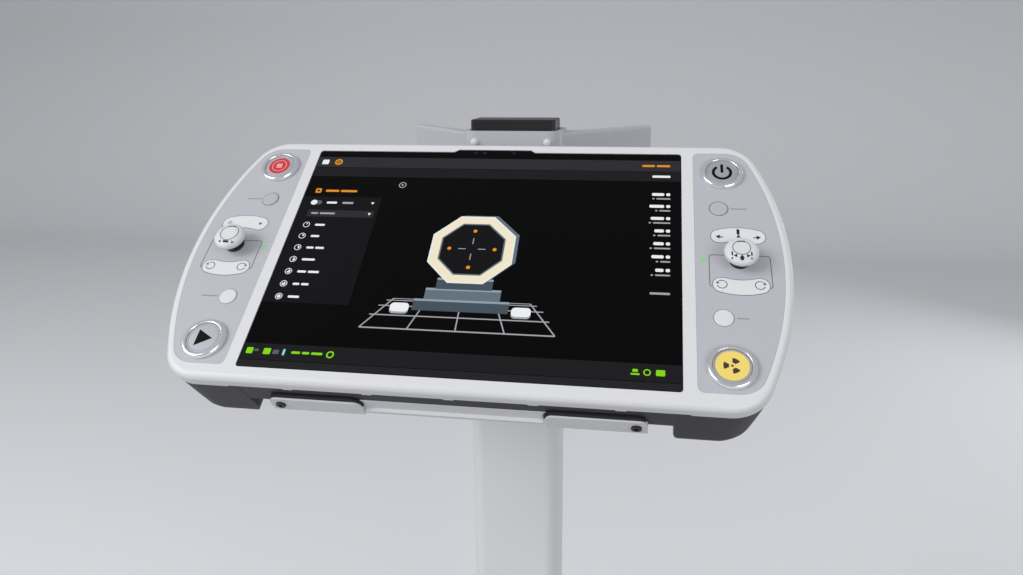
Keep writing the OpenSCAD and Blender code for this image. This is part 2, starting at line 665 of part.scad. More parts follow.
module dock_connector() color("#202024") in_panel() {
  translate([-contact[0] / 2, contact_y - contact[1] / 2, tray_bottom + 2])
    cube([contact[0], contact[1], tongue_top - tray_bottom - 2]);
  for (k = [-4:4]) disc(1.8, tongue_top, -recess_depth, k * contact_pitch, contact_y);
}
// Bracket: in side view it fills the wedge between the leaning tray and the upright post
bracket_low = -44;                    // lower end of the bracket along the tray
bracket_high = 50;                    // upper end of the bracket along the tray
bracket_half = 34;
cheek_t = 7;
plate_t = 6;
// Point of the tray's underside at y along the panel, as [Y, Z] in the object's frame
function under(y, drop) = [-panel_back + y * cos(panel_tilt) - (tray_bottom - drop) * sin(panel_tilt),
  panel_height + y * sin(panel_tilt) + (tray_bottom - drop) * cos(panel_tilt)];
bracket_foot = under(bracket_low, 0)[1] - 34;
bracket_top = under(bracket_high, 0)[1];
post_bolts = [for (x = [-17, 17]) for (z = [bracket_foot + 14, bracket_top - 18]) [x, z]];
post_bolt_d = 6;
post_bolt_end = post_front_y + post_wall + 6;
module side_profile(half0, half1, points)
  translate([half0, 0, 0]) rotate([90, 0, 90]) linear_extrude(half1 - half0) polygon(points);
module tray_bracket() color("#c3c4c6") difference() {
  back = post_front_y - plate_t;
  union() {
    side_profile(-bracket_half, bracket_half, [under(bracket_low, 0), under(bracket_high, 0),
      under(bracket_high, plate_t), under(bracket_low, plate_t)]);
    side_profile(-bracket_half, bracket_half, [[back, bracket_foot], [post_front_y, bracket_foot],
      [post_front_y, bracket_top], [back, bracket_top]]);
    both_sides() side_profile(bracket_half - cheek_t, bracket_half,
      [under(bracket_low, plate_t / 2), under(bracket_high, plate_t / 2),
       [post_front_y - plate_t / 2, bracket_top], [post_front_y - plate_t / 2, bracket_foot]]);
  }
  in_panel() for (p = tray_bolts)
    disc(tray_bolt_d + 0.2, tray_bottom - plate_t - 1, tray_bottom + 1, p[0], p[1]);
  for (p = post_bolts) rod(post_bolt_d + 0.4, p[0], back - 1, post_front_y + 1, p[1], 32);
}
module bracket_bolts() color("#8b8d90") {
  in_panel() for (p = tray_bolts) difference() {
    nut_z = tray_bottom - plate_t - 3.2;
    union() {
      disc(tray_bolt_d, nut_z - 0.8, tray_seat, p[0], p[1]);
      disc(tray_head_d, tray_seat, tray_seat + tray_head_h, p[0], p[1]);
      translate([p[0], p[1], nut_z]) cylinder(d = 7.7, h = 3.2, $fn = 6);
    }
    translate([p[0], p[1], tray_seat + 1.8]) cylinder(d = 3.5, h = 5, $fn = 6);
  }
  for (p = post_bolts) difference() {
    head_y = post_front_y - plate_t;
    union() {
      rod(10, p[0], head_y - 5, head_y, p[1]);
      rod(post_bolt_d, p[0], head_y, post_bolt_end, p[1]);
    }
    rod(5.8, p[0], head_y - 7, head_y - 2, p[1], 6);
  }
}

// Stand
head_screw_x = 29.7;
head_screw_z = post_top - 9;
head_screw_d = 4;
handle_top = post_top - 2;
handle_h = 24;
handle_t = 13;
handle_edge = 2;
strap_t = 9;
handle_bolt_d = 5;
handle_bolt_spots = [for (x = [-20, 20]) [x, handle_top - handle_h / 2]];
post_gap = 0.2;
function post_plan(in_by) = rrect(post_w / 2 - in_by, post_d / 2 - in_by, max(post_r - in_by, 3), 8);
module post() color("#d2d3d5") difference() {
  translate([0, post_back, base_top]) linear_extrude(post_top - base_top) difference() {
    polygon(post_plan(0));
    polygon(post_plan(post_wall));
  }
  front = [post_front_y - 1, post_front_y + post_wall + 1];
  for (p = post_bolts) rod(post_bolt_d + post_gap, p[0], front[0], front[1], p[1]);
  for (x = [-1, 1]) rod(head_screw_d + post_gap, x * head_screw_x, front[0], front[1], head_screw_z, 32);
  for (p = handle_bolt_spots)
    rod(handle_bolt_d + post_gap, p[0], post_rear_y - post_wall - 1, post_rear_y + 1, p[1], 32);
}
module head_screws() color("#e4e5e8") for (x = [-1, 1])
  translate([x * head_screw_x, post_front_y, head_screw_z]) {
  rotate([90, 0, 0]) rotate_extrude($fn = 48) polygon(concat(
    [[0, 0], [3.2, 0]], [for (a = [0:15:75]) [3.2 * cos(a), 0.6 + 2.2 * sin(a)]], [[0, 2.8]]));
  rotate([-90, 0, 0]) cylinder(d = head_screw_d, h = post_wall + 3, $fn = 48);
}
cap_half = [post_w / 2 - 5.5, post_d / 2 - 10];
cap_h = 8.4;
cap_corner = 3;
cap_bevel = 0.9;
plug_h = 12;
plug_wall = 2.75;
function cap_plan(in_by) = moved(rrect(cap_half[0] - in_by, cap_half[1] - in_by, cap_corner - in_by), 0, post_back);
function plug_plan(in_by) = moved(post_plan(post_wall + seat_gap + in_by), 0, post_back);
module post_cap() color("#202124") {
  hull() {
    slab(cap_plan(0), post_top, post_top + cap_h - cap_bevel);
    slab(cap_plan(cap_bevel), post_top, post_top + cap_h);
  }
  difference() {
    slab(plug_plan(0), post_top - plug_h, post_top + eps);
    slab(plug_plan(plug_wall), post_top - plug_h - 1, post_top - 3);
    both_sides() rod(head_screw_d + 1, head_screw_x, post_front_y, post_front_y + 12, head_screw_z, 32);
    for (p = handle_bolt_spots) rod(handle_bolt_d + 1, p[0], post_back, post_back + post_d, p[1], 32);
  }
}
// One arm, from just inside the side of the post to its rounded tip
module handle_arm() {
  root = [post_w / 2 - 5, post_back - 10];
  tip = [handle_half - handle_t / 2, post_back + handle_sweep];
  low = handle_top - handle_h;
  hull() for (p = [root, tip]) {
    translate([p[0], p[1], low]) cylinder(d = handle_t - handle_edge, h = handle_h, $fn = 32);
    translate([p[0], p[1], low + handle_edge])
      cylinder(d = handle_t, h = handle_h - 2 * handle_edge, $fn = 32);
  }
}
module rear_handle() color("#bcbdc1") difference() {
  wide = post_w / 2 + handle_t;
  strap_front = post_back + 6;
  strap_y = post_rear_y + strap_t;
  union() {
    both_sides() handle_arm();
    // Strap behind the post that joins the arms
    translate([0, 0, handle_top - handle_h + 1]) linear_extrude(handle_h - 2) polygon([
      [-wide, strap_front], [-wide, strap_y], [wide, strap_y], [wide, strap_front]]);
  }
  // The strap closes on the rounded post without cutting into it
  translate([0, post_back, handle_top - handle_h - 1]) linear_extrude(handle_h + 2) polygon(post_plan(0));
  translate([-post_w / 2, post_back - post_d, handle_top - handle_h - 1])
    cube([post_w, post_d, handle_h + 2]);
  for (p = handle_bolt_spots) rod(handle_bolt_d + post_gap, p[0], post_rear_y - 1, strap_y + 2, p[1], 32);
}
module handle_bolts() color("#8b8d90") for (p = handle_bolt_spots) difference() {
  head_y = post_rear_y + strap_t;
  union() {
    rod(9, p[0], head_y, head_y + 3.4, p[1]);
    rod(handle_bolt_d, p[0], post_rear_y - post_wall - 5, head_y, p[1]);
  }
  rod(4.6, p[0], head_y + 1.6, head_y + 4.6, p[1], 6);
}
flange_bolt_d = 6.8;
module base_flange() color("#d2d3d5") translate([0, post_back, base_top]) difference() {
  linear_extrude(flange_t) polygon(rrect(flange[0] / 2, flange[1] / 2, 12));
  translate([0, 0, -1]) linear_extrude(flange_t + 2) polygon(post_plan(0));
  for (p = flange_bolts) disc(9, -1, flange_t + 1, p[0], p[1]);
}
base_corner = 40;
base_bevel = 2.5;
foot_stud_d = 7.9;
foot_stud_end = base_top - 3;
function base_plan(in_by) = rrect(base_w / 2 - in_by, base_d / 2 - in_by, base_corner - in_by, 10);
module base_plate() color("#d2d3d5") difference() {
  hull() {
    slab(base_plan(0), foot_h, base_top - base_bevel);
    slab(base_plan(base_bevel), foot_h, base_top);
  }
  for (p = flange_bolts) disc(flange_bolt_d + 0.2, foot_h - 1, base_top + 1, p[0], p[1] + post_back);
  for (p = foot_spots) disc(foot_stud_d + 0.1, foot_h - 1, foot_stud_end, p[0], p[1]);
}
washer_t = 1.6;
module base_bolts() color("#8b8d90") for (p = flange_bolts) translate([p[0], p[1] + post_back, base_top]) {
  translate([0, 0, flange_t]) cylinder(d = 16, h = washer_t, $fn = 48);
  translate([0, 0, flange_t + washer_t]) cylinder(d = 14.6, h = 5.3, $fn = 6);
  translate([0, 0, -base_t + 1]) cylinder(d = flange_bolt_d, h = base_t + flange_t - 1, $fn = 48);
}
module levelling_feet() color("#2a2a2c") for (p = foot_spots) {
  translate([p[0], p[1], 0]) rotate_extrude($fn = fine) polygon([[0, 0], [21, 0], [22, 1.2], [22, 6], [18, 9],
    [8, 10.5], [8, foot_h], [0, foot_h]]);
  disc(foot_stud_d, foot_h, foot_stud_end - 0.2, p[0], p[1]);
}

front_shell();
rear_shell();
shell_gasket();
cover_glass();
display_module();
main_chassis();
logic_board();
left_battery();
right_battery();
contact_plate();
shell_screws();
left_overlay();
right_overlay();
status_lights();
stop_bezel();
power_bezel();
start_bezel();
exposure_bezel();
stop_cap();
power_cap();
start_cap();
exposure_cap();
bezel_nuts();
switch_blocks();
upper_left_key();
lower_left_key();
upper_right_key();
lower_right_key();
key_boards();
left_stick_housing();
left_stick_yoke();
left_stick_shaft();
left_stick_cap();
right_stick_housing();
right_stick_yoke();
right_stick_shaft();
right_stick_cap();
dock_tray();
lip_screws();
dock_connector();
tray_bracket();
bracket_bolts();
post();
post_cap();
head_screws();
rear_handle();
handle_bolts();
base_flange();
base_plate();
base_bolts();
levelling_feet();
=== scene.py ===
# %% [markdown]
# # A control console with a touch screen, docked on its floor stand
# The console is a wide touch screen in a white moulded frame with bowed ends. Each end carries a
# matt grey overlay with two push buttons, two small keys and a joystick. A dark rear shell with hand
# grips closes the back, and the console leans in a painted steel dock on a post.
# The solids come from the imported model, which is loaded first and never changed. What is only a
# finish, a print or the smooth skin of a round part is made here, in the same frame and in metres.

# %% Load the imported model
import json
import math

import bmesh
import bpy
import numpy as np
from mathutils import Matrix, Vector


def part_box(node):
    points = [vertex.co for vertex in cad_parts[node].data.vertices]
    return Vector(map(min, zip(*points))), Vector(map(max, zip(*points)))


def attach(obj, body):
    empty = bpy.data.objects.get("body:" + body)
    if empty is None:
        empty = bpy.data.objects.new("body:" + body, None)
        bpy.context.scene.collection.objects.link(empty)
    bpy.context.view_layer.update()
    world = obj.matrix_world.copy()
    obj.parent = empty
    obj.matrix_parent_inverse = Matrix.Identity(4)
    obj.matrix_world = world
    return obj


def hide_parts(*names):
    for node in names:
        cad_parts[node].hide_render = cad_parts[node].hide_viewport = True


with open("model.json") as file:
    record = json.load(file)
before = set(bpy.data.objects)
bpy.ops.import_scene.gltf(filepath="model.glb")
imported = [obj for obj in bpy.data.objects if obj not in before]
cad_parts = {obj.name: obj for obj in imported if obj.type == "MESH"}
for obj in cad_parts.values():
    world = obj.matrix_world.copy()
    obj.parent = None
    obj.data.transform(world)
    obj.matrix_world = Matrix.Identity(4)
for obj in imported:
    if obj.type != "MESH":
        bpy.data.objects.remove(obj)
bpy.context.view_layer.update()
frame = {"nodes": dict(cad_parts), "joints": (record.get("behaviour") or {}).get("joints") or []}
nodes = frame["nodes"]

# %% [markdown]
# ## The panel's own frame
# The console's face leans back, and its controls lie along it. They could be modelled flat and turned
# afterwards, but a finished piece keeps its place in its mesh. So points are written on the panel
# itself, in millimetres from the middle of the glass: x to the right, y up the panel, z out of the
# glass. The joystick pivots and axes, which the model states, fix that frame.

# %% Panel frame from the joystick pivots
MM = 0.001
PIVOT_DEPTH = 7.5
joints = {j["name"]: j for j in frame["joints"]}
pivot_left = np.array(joints["left_stick_forward"]["pos_m"])
pivot_right = np.array(joints["right_stick_forward"]["pos_m"])
PANEL_X = np.array([1.0, 0.0, 0.0])
PANEL_Y = np.array(joints["right_stick_sideways"]["axis"])
PANEL_Z = np.array(joints["right_stick_twist"]["axis"])
PANEL_O = (pivot_left + pivot_right) / 2 + PIVOT_DEPTH * MM * PANEL_Z
STICK_X = (pivot_right[0] - pivot_left[0]) / 2 / MM


def on_panel(points):
    """Millimetre points (x, y, z) on the panel become metres in the object's frame."""
    p = np.asarray(points, float) * MM
    return PANEL_O + p[:, :1] * PANEL_X + p[:, 1:2] * PANEL_Y + p[:, 2:3] * PANEL_Z


def panel_spot(name):
    """Place on the panel, in millimetres, of the middle of a node's box."""
    low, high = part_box(name)
    away = (np.array(low) + np.array(high)) / 2 - PANEL_O
    return float(away @ PANEL_X) / MM, float(away @ PANEL_Y) / MM


print("sticks at", round(STICK_X, 1), "mm to each side of the middle")

# %% [markdown]
# ## Camera
# The view is that of an operator a little to the right of the screen, who looks down at it. It could
# be set by eye, but the corners of the glass, whose real size is known, give it exactly. So it is
# written as plain numbers: a place in metres, a heading left of straight ahead, a pitch and a roll.

# %% Camera
IMAGE_W, IMAGE_H = 1023, 575
FOCAL_PX = 717.2
CENTRE_PX = (526.37, 284.29)
SENSOR_MM = 36.0
CAMERA_PLACE = (0.1031, -0.4862, 1.1085)
HEADING, PITCH, ROLL = 8.96, -16.11, -0.31

camera_data = bpy.data.cameras.new("operator_view")
camera = bpy.data.objects.new("operator_view", camera_data)
bpy.context.scene.collection.objects.link(camera)
turn = Matrix.Rotation(math.radians(HEADING), 4, "Z")
turn = turn @ Matrix.Rotation(math.radians(90 + PITCH), 4, "X")
turn = turn @ Matrix.Rotation(math.radians(ROLL), 4, "Z")
camera.matrix_world = Matrix.Translation(CAMERA_PLACE) @ turn
camera_data.sensor_width = SENSOR_MM
camera_data.lens = SENSOR_MM * FOCAL_PX / IMAGE_W
camera_data.shift_x = (IMAGE_W / 2 - CENTRE_PX[0]) / IMAGE_W
camera_data.shift_y = (CENTRE_PX[1] - IMAGE_H / 2) / IMAGE_W
camera_data.clip_start = 0.01
bpy.context.scene.camera = camera
print("lens", round(camera_data.lens, 2), "mm")

# %% [markdown]
# ## Colour and node helpers
# Colours are written as sRGB hex values, as a colour picker shows them. Blender works in linear light,
# so one function turns them. Another adds a shader node, sets its inputs and links its sockets.


# %% Colour and node helpers
def linear(hex_colour):
    """sRGB hex to linear: a channel c becomes ((c + 0.055) / 1.055) ** 2.4, or c / 12.92 if it is dark."""
    channels = [int(hex_colour[i : i + 2], 16) / 255 for i in (1, 3, 5)]
    return tuple(c / 12.92 if c <= 0.04045 else ((c + 0.055) / 1.055) ** 2.4 for c in channels) + (1.0,)


def add(tree, kind, inputs=None, **settings):
    """Adds one node. An input that is a socket is linked, and any other value is set on the socket."""
    node = tree.nodes.new(kind)
    for key, value in settings.items():
        setattr(node, key, value)
    for key, value in (inputs or {}).items():
        if isinstance(value, bpy.types.NodeSocket):
            tree.links.new(value, node.inputs[key])
        else:
            node.inputs[key].default_value = value
    return node


def new_material(name, inputs):
    """An empty node material whose surface shader starts from the given inputs."""
    material = bpy.data.materials.new(name)
    material.use_nodes = True
    tree = material.node_tree
    tree.nodes.clear()
    shader = add(tree, "ShaderNodeBsdfPrincipled", inputs)
    output = add(tree, "ShaderNodeOutputMaterial")
    tree.links.new(shader.outputs["BSDF"], output.inputs["Surface"])
    return material, tree, shader


print("node helpers ready")

# %% [markdown]
# ## Grain and drift of tone
# No moulded or painted face is perfectly even: its grain breaks up the highlights, and its tone drifts
# slightly across the part. Both could be painted images, but noise at a real size in millimetres fits
# every piece alike. So the grain is noise read as bump, and a slow noise mixes in a darker tone.

# %% Grain and drift
# A colour Mix node has its factor at input 0, its two colours at 6 and 7, and its result at output 2
MIX_FACTOR, MIX_FROM, MIX_TO, MIX_RESULT = 0, 6, 7, 2
GRAIN_BREAK = 0.55


def grain_on(tree, shader, grain_mm, depth_mm, detail=3.0):
    """Fine moulded or sprayed grain: noise whose cells are grain_mm wide, as bump of depth_mm."""
    place = add(tree, "ShaderNodeTexCoord").outputs["Object"]
    grain = {"Vector": place, "Scale": 1 / (grain_mm * MM), "Detail": detail, "Roughness": GRAIN_BREAK}
    noise = add(tree, "ShaderNodeTexNoise", grain)
    relief = {"Height": noise.outputs["Fac"], "Distance": depth_mm * MM, "Strength": 1.0}
    bump = add(tree, "ShaderNodeBump", relief)
    tree.links.new(bump.outputs["Normal"], shader.inputs["Normal"])
    return place


def tint_drift(tree, shader, place, colour_hex, drift, cell_mm):
    """The colour is mixed with one darker by drift, in clouds cell_mm wide."""
    colour = linear(colour_hex)
    slow = add(tree, "ShaderNodeTexNoise", {"Vector": place, "Scale": 1 / (cell_mm * MM), "Detail": 2.0})
    dark = tuple(c * (1 - drift) for c in colour[:3]) + (1.0,)
    blend = {MIX_FACTOR: slow.outputs["Fac"], MIX_FROM: colour, MIX_TO: dark}
    mixed = add(tree, "ShaderNodeMix", blend, data_type="RGBA").outputs[MIX_RESULT]
    tree.links.new(mixed, shader.inputs["Base Color"])
    return mixed


print("grain helpers ready")

# %% [markdown]
# ## Plastics and rubber
# The frame is moulded ABS with a very fine matt grain and a slight sheen. The rear shell is the same
# plastic in charcoal with a coarser grain. The overlay is a printed polyester film, flatter and duller.
# They differ only in colour, gloss and grain, so one function makes them all.

# %% Plastics, film and rubber
PLASTIC_IOR = 1.5


def moulded_plastic(name, colour_hex, roughness, grain_mm, depth_mm, drift=0.03):
    """ABS from a textured mould: dielectric, with grain of grain_mm and a slow drift of tone."""
    material, tree, shader = new_material(name, {"Roughness": roughness, "IOR": PLASTIC_IOR})
    place = grain_on(tree, shader, grain_mm, depth_mm)
    tint_drift(tree, shader, place, colour_hex, drift, cell_mm=60.0)
    return material


# Satin ABS: a soft, wide highlight runs along the rim
white_abs = moulded_plastic("satin_white_abs", "#DBDCDF", 0.38, 0.5, 0.004, 0.02)
# Spark-eroded texture: coarse enough to break highlights up
charcoal_abs = moulded_plastic("charcoal_textured_abs", "#252529", 0.6, 0.7, 0.02, 0.10)
# Glass-filled nylon: nearly black with a low sheen
black_abs = moulded_plastic("black_satin_nylon", "#161618", 0.42, 0.5, 0.006, 0.08)
# Polyester film, printed from behind: one even grey
grey_film = moulded_plastic("grey_matt_polyester_film", "#B8B8C0", 0.48, 0.35, 0.003, 0.02)
# Key caps: grey ones sink into the film's tone, white ones stand out
key_grey = moulded_plastic("grey_key_cap", "#B6B6BE", 0.5, 0.4, 0.003)
key_white = moulded_plastic("white_key_cap", "#DCDDE0", 0.42, 0.4, 0.003)
# Knob caps: a matt grain spreads the light over the crown
knob_white = moulded_plastic("white_knob_abs", "#DADBDF", 0.45, 0.45, 0.006)
# Nylon under the knob: only its outline is seen
stick_black = moulded_plastic("black_stick_nylon", "#070708", 0.6, 0.5, 0.006, 0.08)
# Heat-shrunk film: glossy, with shallow waves
battery_film = moulded_plastic("battery_shrink_film", "#2A2C31", 0.35, 2.5, 0.05, 0.15)
# Silicone and foot rubber: dull, with no highlight at all. The black silicone also paints the shade above
# the dock's lips
seal_rubber_and_lip_shade = moulded_plastic("black_silicone_rubber", "#0B0B0C", 0.85, 0.8, 0.01, 0.1)
foot_rubber = moulded_plastic("black_foot_rubber", "#1C1C1E", 0.85, 1.2, 0.05, 0.15)
# Solder mask: a glossy green lacquer
circuit_green = moulded_plastic("green_solder_mask", "#1E5B3A", 0.3, 1.5, 0.02, 0.2)
print("plastics:", len(bpy.data.materials))

# %% [markdown]
# ## Metals
# The push buttons have polished chromed rings and satin anodised caps, and the screws are plated
# steel. A metal has no colour under its gloss: the reflection itself is tinted. So the shader is fully
# metallic, and only tint, roughness and the size of the marks tell one from another.


# %% Bare metals
def bare_metal(name, colour_hex, roughness, grain_mm, depth_mm):
    """A metal finish: fully metallic, with its machining or blasting marks as fine bump."""
    material, tree, shader = new_material(name, {"Metallic": 1.0, "Roughness": roughness})
    place = grain_on(tree, shader, grain_mm, depth_mm)
    tint_drift(tree, shader, place, colour_hex, 0.04, cell_mm=12.0)
    return material


# Polished plate: bright streaks of lamp with grey between
chrome = bare_metal("polished_chrome", "#EDEEF2", 0.2, 3.0, 0.001)
# Blasted, then anodised: the lamps melt into one even tone
satin_aluminium = bare_metal("satin_anodised_aluminium", "#C2C3CA", 0.72, 0.25, 0.004)
# Zinc plate: half bright and a little cool
zinc_steel = bare_metal("zinc_plated_steel", "#B4B6B8", 0.32, 0.6, 0.004)
# Casting skin: grey and slightly rough to the eye
cast_aluminium = bare_metal("cast_aluminium", "#A9ABAF", 0.45, 1.0, 0.02)
# Black oxide: dark, with a thin light edge
black_steel = bare_metal("black_oxide_steel", "#3A3A3D", 0.4, 0.5, 0.004)
print("materials so far:", len(bpy.data.materials))

# %% [markdown]
# ## Powder coat and glass
# The stand is powder-coated steel, whose skin has the slight waviness of orange peel, about 1.5 mm from
# crest to crest. Above a height just below the handle bolted to it, the post's paint takes the handle's
# grey. That could be a second material on the head's faces, but a solid's mesh is left alone, so the paint
# itself changes colour at a height. The cover glass is black-backed, and its coat keeps reflections faint.

# %% Powder coat and glass
HEAD_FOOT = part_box("rear_handle")[0][2] - 6 * MM
GLASS_SPECULAR = 0.06
HANDLE_GREY = "#BDBEC4"


def powder_coat(name, colour_hex, roughness, head_hex=None):
    """Sprayed and baked paint: orange peel of 1.5 mm and a faint drift of tone. With head_hex a second
    mix, whose factor is 1 where the object's z is above HEAD_FOOT, gives that colour."""
    material, tree, shader = new_material(name, {"Roughness": roughness, "IOR": PLASTIC_IOR})
    place = grain_on(tree, shader, 1.5, 0.012, detail=1.0)
    colour = tint_drift(tree, shader, place, colour_hex, 0.025, cell_mm=90.0)
    if head_hex:
        height = add(tree, "ShaderNodeSeparateXYZ", {"Vector": place}).outputs["Z"]
        above = add(tree, "ShaderNodeMath", {0: height, 1: HEAD_FOOT}, operation="GREATER_THAN")
        blend = {MIX_FACTOR: above.outputs[0], MIX_FROM: colour, MIX_TO: linear(head_hex)}
        masked = add(tree, "ShaderNodeMix", blend, data_type="RGBA")
        tree.links.new(masked.outputs[MIX_RESULT], shader.inputs["Base Color"])
    return material


def coated_glass(name, colour_hex):
    """Black-backed glass with an anti-reflective coat: smooth, with a lowered specular level."""
    material, tree, shader = new_material(name, {"Roughness": 0.1, "Specular IOR Level": GLASS_SPECULAR})
    place = grain_on(tree, shader, 40.0, 0.002, detail=0.0)
    tint_drift(tree, shader, place, colour_hex, 0.2, cell_mm=50.0)
    return material


# Baked powder: broad, soft highlights that waver with the orange peel
post_paint = powder_coat("white_powder_coat", "#DBDCDE", 0.4, HANDLE_GREY)
tray_paint = powder_coat("light_grey_powder_coat", "#D9DADD", 0.42)
handle_paint = powder_coat("grey_powder_coat", HANDLE_GREY, 0.42)
# Coated glass: a deep black that hardly shows the room
black_glass = coated_glass("black_cover_glass", "#060607")
print("head of the post is grey above", round(HEAD_FOOT, 3), "m")

# %% [markdown]
# ## Inks and lights
# Many small prints share one piece and differ only in ink. Instead of a material for each ink, one
# material reads the colour from an attribute of the faces, which keeps the pieces few. The screen's
# picture glows, so its ink goes to emission.

# %% Inks and the light pipe
INK_SPECULAR = 0.1


def inked(name, glow, roughness):
    """Reads the faces' ink colour. With glow it is given off as light, as a display does."""
    look = {"Roughness": roughness, "Specular IOR Level": GLASS_SPECULAR if glow else INK_SPECULAR}
    if glow:
        look.update({"Base Color": (0.0, 0.0, 0.0, 1.0), "Emission Strength": glow})
    material, tree, shader = new_material(name, look)
    ink = add(tree, "ShaderNodeAttribute", attribute_name="ink", attribute_type="GEOMETRY")
    tree.links.new(ink.outputs["Color"], shader.inputs["Emission Color" if glow else "Base Color"])
    if not glow:
        grain_on(tree, shader, 0.35, 0.002)
    return material


def lamp_plastic(name, colour_hex, glow):
    """A lit light pipe: clear coloured plastic that gives off its own colour."""
    look = {"Emission Strength": glow, "Emission Color": linear(colour_hex), "Roughness": 0.3}
    material, tree, shader = new_material(name, look)
    place = grain_on(tree, shader, 0.4, 0.002)
    tint_drift(tree, shader, place, colour_hex, 0.1, cell_mm=2.0)
    return material


# The display's own light: clear colours in any room
screen_ink = inked("display_pixels", 1.0, 0.12)
# Screen-printed ink: flat and dull
film_ink = inked("screen_printed_ink", 0.0, 0.5)
# Acrylic light pipe: a small even green spot
status_green = lamp_plastic("green_light_pipe", "#43C445", 0.6)
print("materials in all:", len(bpy.data.materials))

# %% [markdown]
# ## Finishes of the solids
# Each solid keeps its shape and takes the finish of its real piece, through its material slot.

# %% Give each solid its finish
BUTTONS = ("stop", "power", "start", "exposure")
SIDES = {"left": -1, "right": 1}
FINISH = {
    white_abs: ["front_shell"],
    charcoal_abs: ["rear_shell"],
    black_glass: ["cover_glass"],
    grey_film: ["left_overlay", "right_overlay"],
    seal_rubber_and_lip_shade: ["shell_gasket"],
    cast_aluminium: ["main_chassis"],
    circuit_green: ["logic_board", "key_boards"],
    battery_film: ["left_battery", "right_battery"],
    status_green: ["status_lights"],
    key_grey: ["upper_left_key", "upper_right_key"],
    key_white: ["lower_left_key", "lower_right_key", "head_screws"],
    black_abs: ["display_module", "contact_plate", "switch_blocks", "dock_connector", "post_cap"],
    zinc_steel: ["shell_screws", "bezel_nuts", "bracket_bolts", "handle_bolts", "base_bolts"],
    black_steel: ["lip_screws"],
    tray_paint: ["dock_tray", "tray_bracket"],
    post_paint: ["post", "base_flange", "base_plate"],
    handle_paint: ["rear_handle"],
    foot_rubber: ["levelling_feet"],
    chrome: [button + "_bezel" for button in BUTTONS],
    satin_aluminium: [button + "_cap" for button in BUTTONS],
    stick_black: [side + "_stick_shaft" for side in SIDES],
    knob_white: [side + "_stick_cap" for side in SIDES],
}
for side in SIDES:
    FINISH[black_abs].append(side + "_stick_housing")
    FINISH[zinc_steel].append(side + "_stick_yoke")
for finish, names in FINISH.items():
    for name in names:
        nodes[name].data.materials.clear()
        nodes[name].data.materials.append(finish)
print("finished:", sum(map(len, FINISH.values())), "of", len(nodes))

# %% [markdown]
# ## New pieces
# Every piece made here becomes a mesh object at the origin, with outward faces and no doubled points.
# Then it gets its material and the body that it moves with.

# %% Make and dress a piece
MERGE = 0.01 * MM
ROOT = "stand_and_console"


def new_piece(name, points, faces):
    """A mesh object in the scene, from points in metres and the point numbers of each face."""
    mesh = bpy.data.meshes.new(name)
    mesh.from_pydata(points.tolist(), [], faces)
    piece = bpy.data.objects.new(name, mesh)
    bpy.context.scene.collection.objects.link(piece)
    return piece


def tidy_skin(piece):
    """Merges doubled points, as at a pole, and turns all faces outwards."""
    skin = bmesh.new()
    skin.from_mesh(piece.data)
    bmesh.ops.remove_doubles(skin, verts=skin.verts, dist=MERGE)
    bmesh.ops.dissolve_degenerate(skin, dist=MERGE, edges=skin.edges)
    bmesh.ops.recalc_face_normals(skin, faces=skin.faces)
    skin.to_mesh(piece.data)
    skin.free()


def dress(piece, material, body):
    """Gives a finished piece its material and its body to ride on."""
    piece.data.materials.append(material)
    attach(piece, body)
    return piece


print("points closer than", MERGE, "m are merged")

# %% [markdown]
# ## Turning round parts
# Rings, caps and knobs are turned on a lathe or moulded round. The solids have flats, which a polished
# rim shows, and a subdivision modifier would round every edge alike. So they are made again as smooth
# surfaces of revolution: a profile of (radius, height) points, rounded at its corners by a short
# curve, is carried round the axis in fine steps.

# %% Surfaces of revolution
EDGE_SHARE = 0.45
CURVE_STEPS = 5


def softened(profile, radius):
    """Each inner corner c becomes the curve (1 - t)^2 a + 2 t (1 - t) c + t^2 b, where a and b lie on the
    two edges that meet there, radius away from c or EDGE_SHARE of the shorter edge."""
    p = np.asarray(profile, float)
    corner = p[1:-1]
    edges = np.stack([p[:-2], p[2:]]) - corner
    length = np.linalg.norm(edges, axis=2, keepdims=True)
    a, b = corner + edges / length * np.minimum(radius, EDGE_SHARE * length.min(axis=0))
    t = np.linspace(0, 1, CURVE_STEPS)[:, None, None]
    curve = (1 - t) ** 2 * a + 2 * t * (1 - t) * corner + t**2 * b
    return np.vstack([p[:1], curve.transpose(1, 0, 2).reshape(-1, 2), p[-1:]])


def arc(cx, cy, r, u):
    """Points of a circle at the angles u: (cx + r cos u, cy + r sin u)."""
    return np.stack([cx + r * np.cos(u), cy + r * np.sin(u)], axis=-1)


def turned(name, profile, centre, radius, steps):
    """Profile (r, z) carried round the axis: (cx + r cos u, cy + r sin u, z). It starts and ends on
    the axis or closes on itself, so the skin has no hole."""
    p = softened(profile, radius)
    around = arc(*centre, p[:, :1], np.linspace(0, 2 * np.pi, steps, endpoint=False))
    up = np.repeat(p[:, None, 1:], steps, axis=1)
    points = on_panel(np.concatenate([around, up], axis=-1).reshape(-1, 3))
    row = np.arange(len(p) - 1)[:, None] * steps
    here = np.arange(steps)[None, :]
    after = (here + 1) % steps
    quads = np.stack([row + here, row + after, row + steps + after, row + steps + here], axis=-1)
    piece = new_piece(name, points, quads.reshape(-1, 4).tolist())
    piece.data.validate()
    tidy_skin(piece)
    piece.data.polygons.foreach_set("use_smooth", np.ones(len(piece.data.polygons), bool))
    return piece


print("a rounded corner has", CURVE_STEPS, "points")

# %% [markdown]
# ## Push buttons
# Each is a 22 mm class panel button: a chromed ring round a satin cap with a fine turned groove. The
# ring's shoulder carries the brightest streaks on the panel, and a plain bevel would give one hard
# line of light, so it is a quarter ellipse. All other sizes are the solid's own.

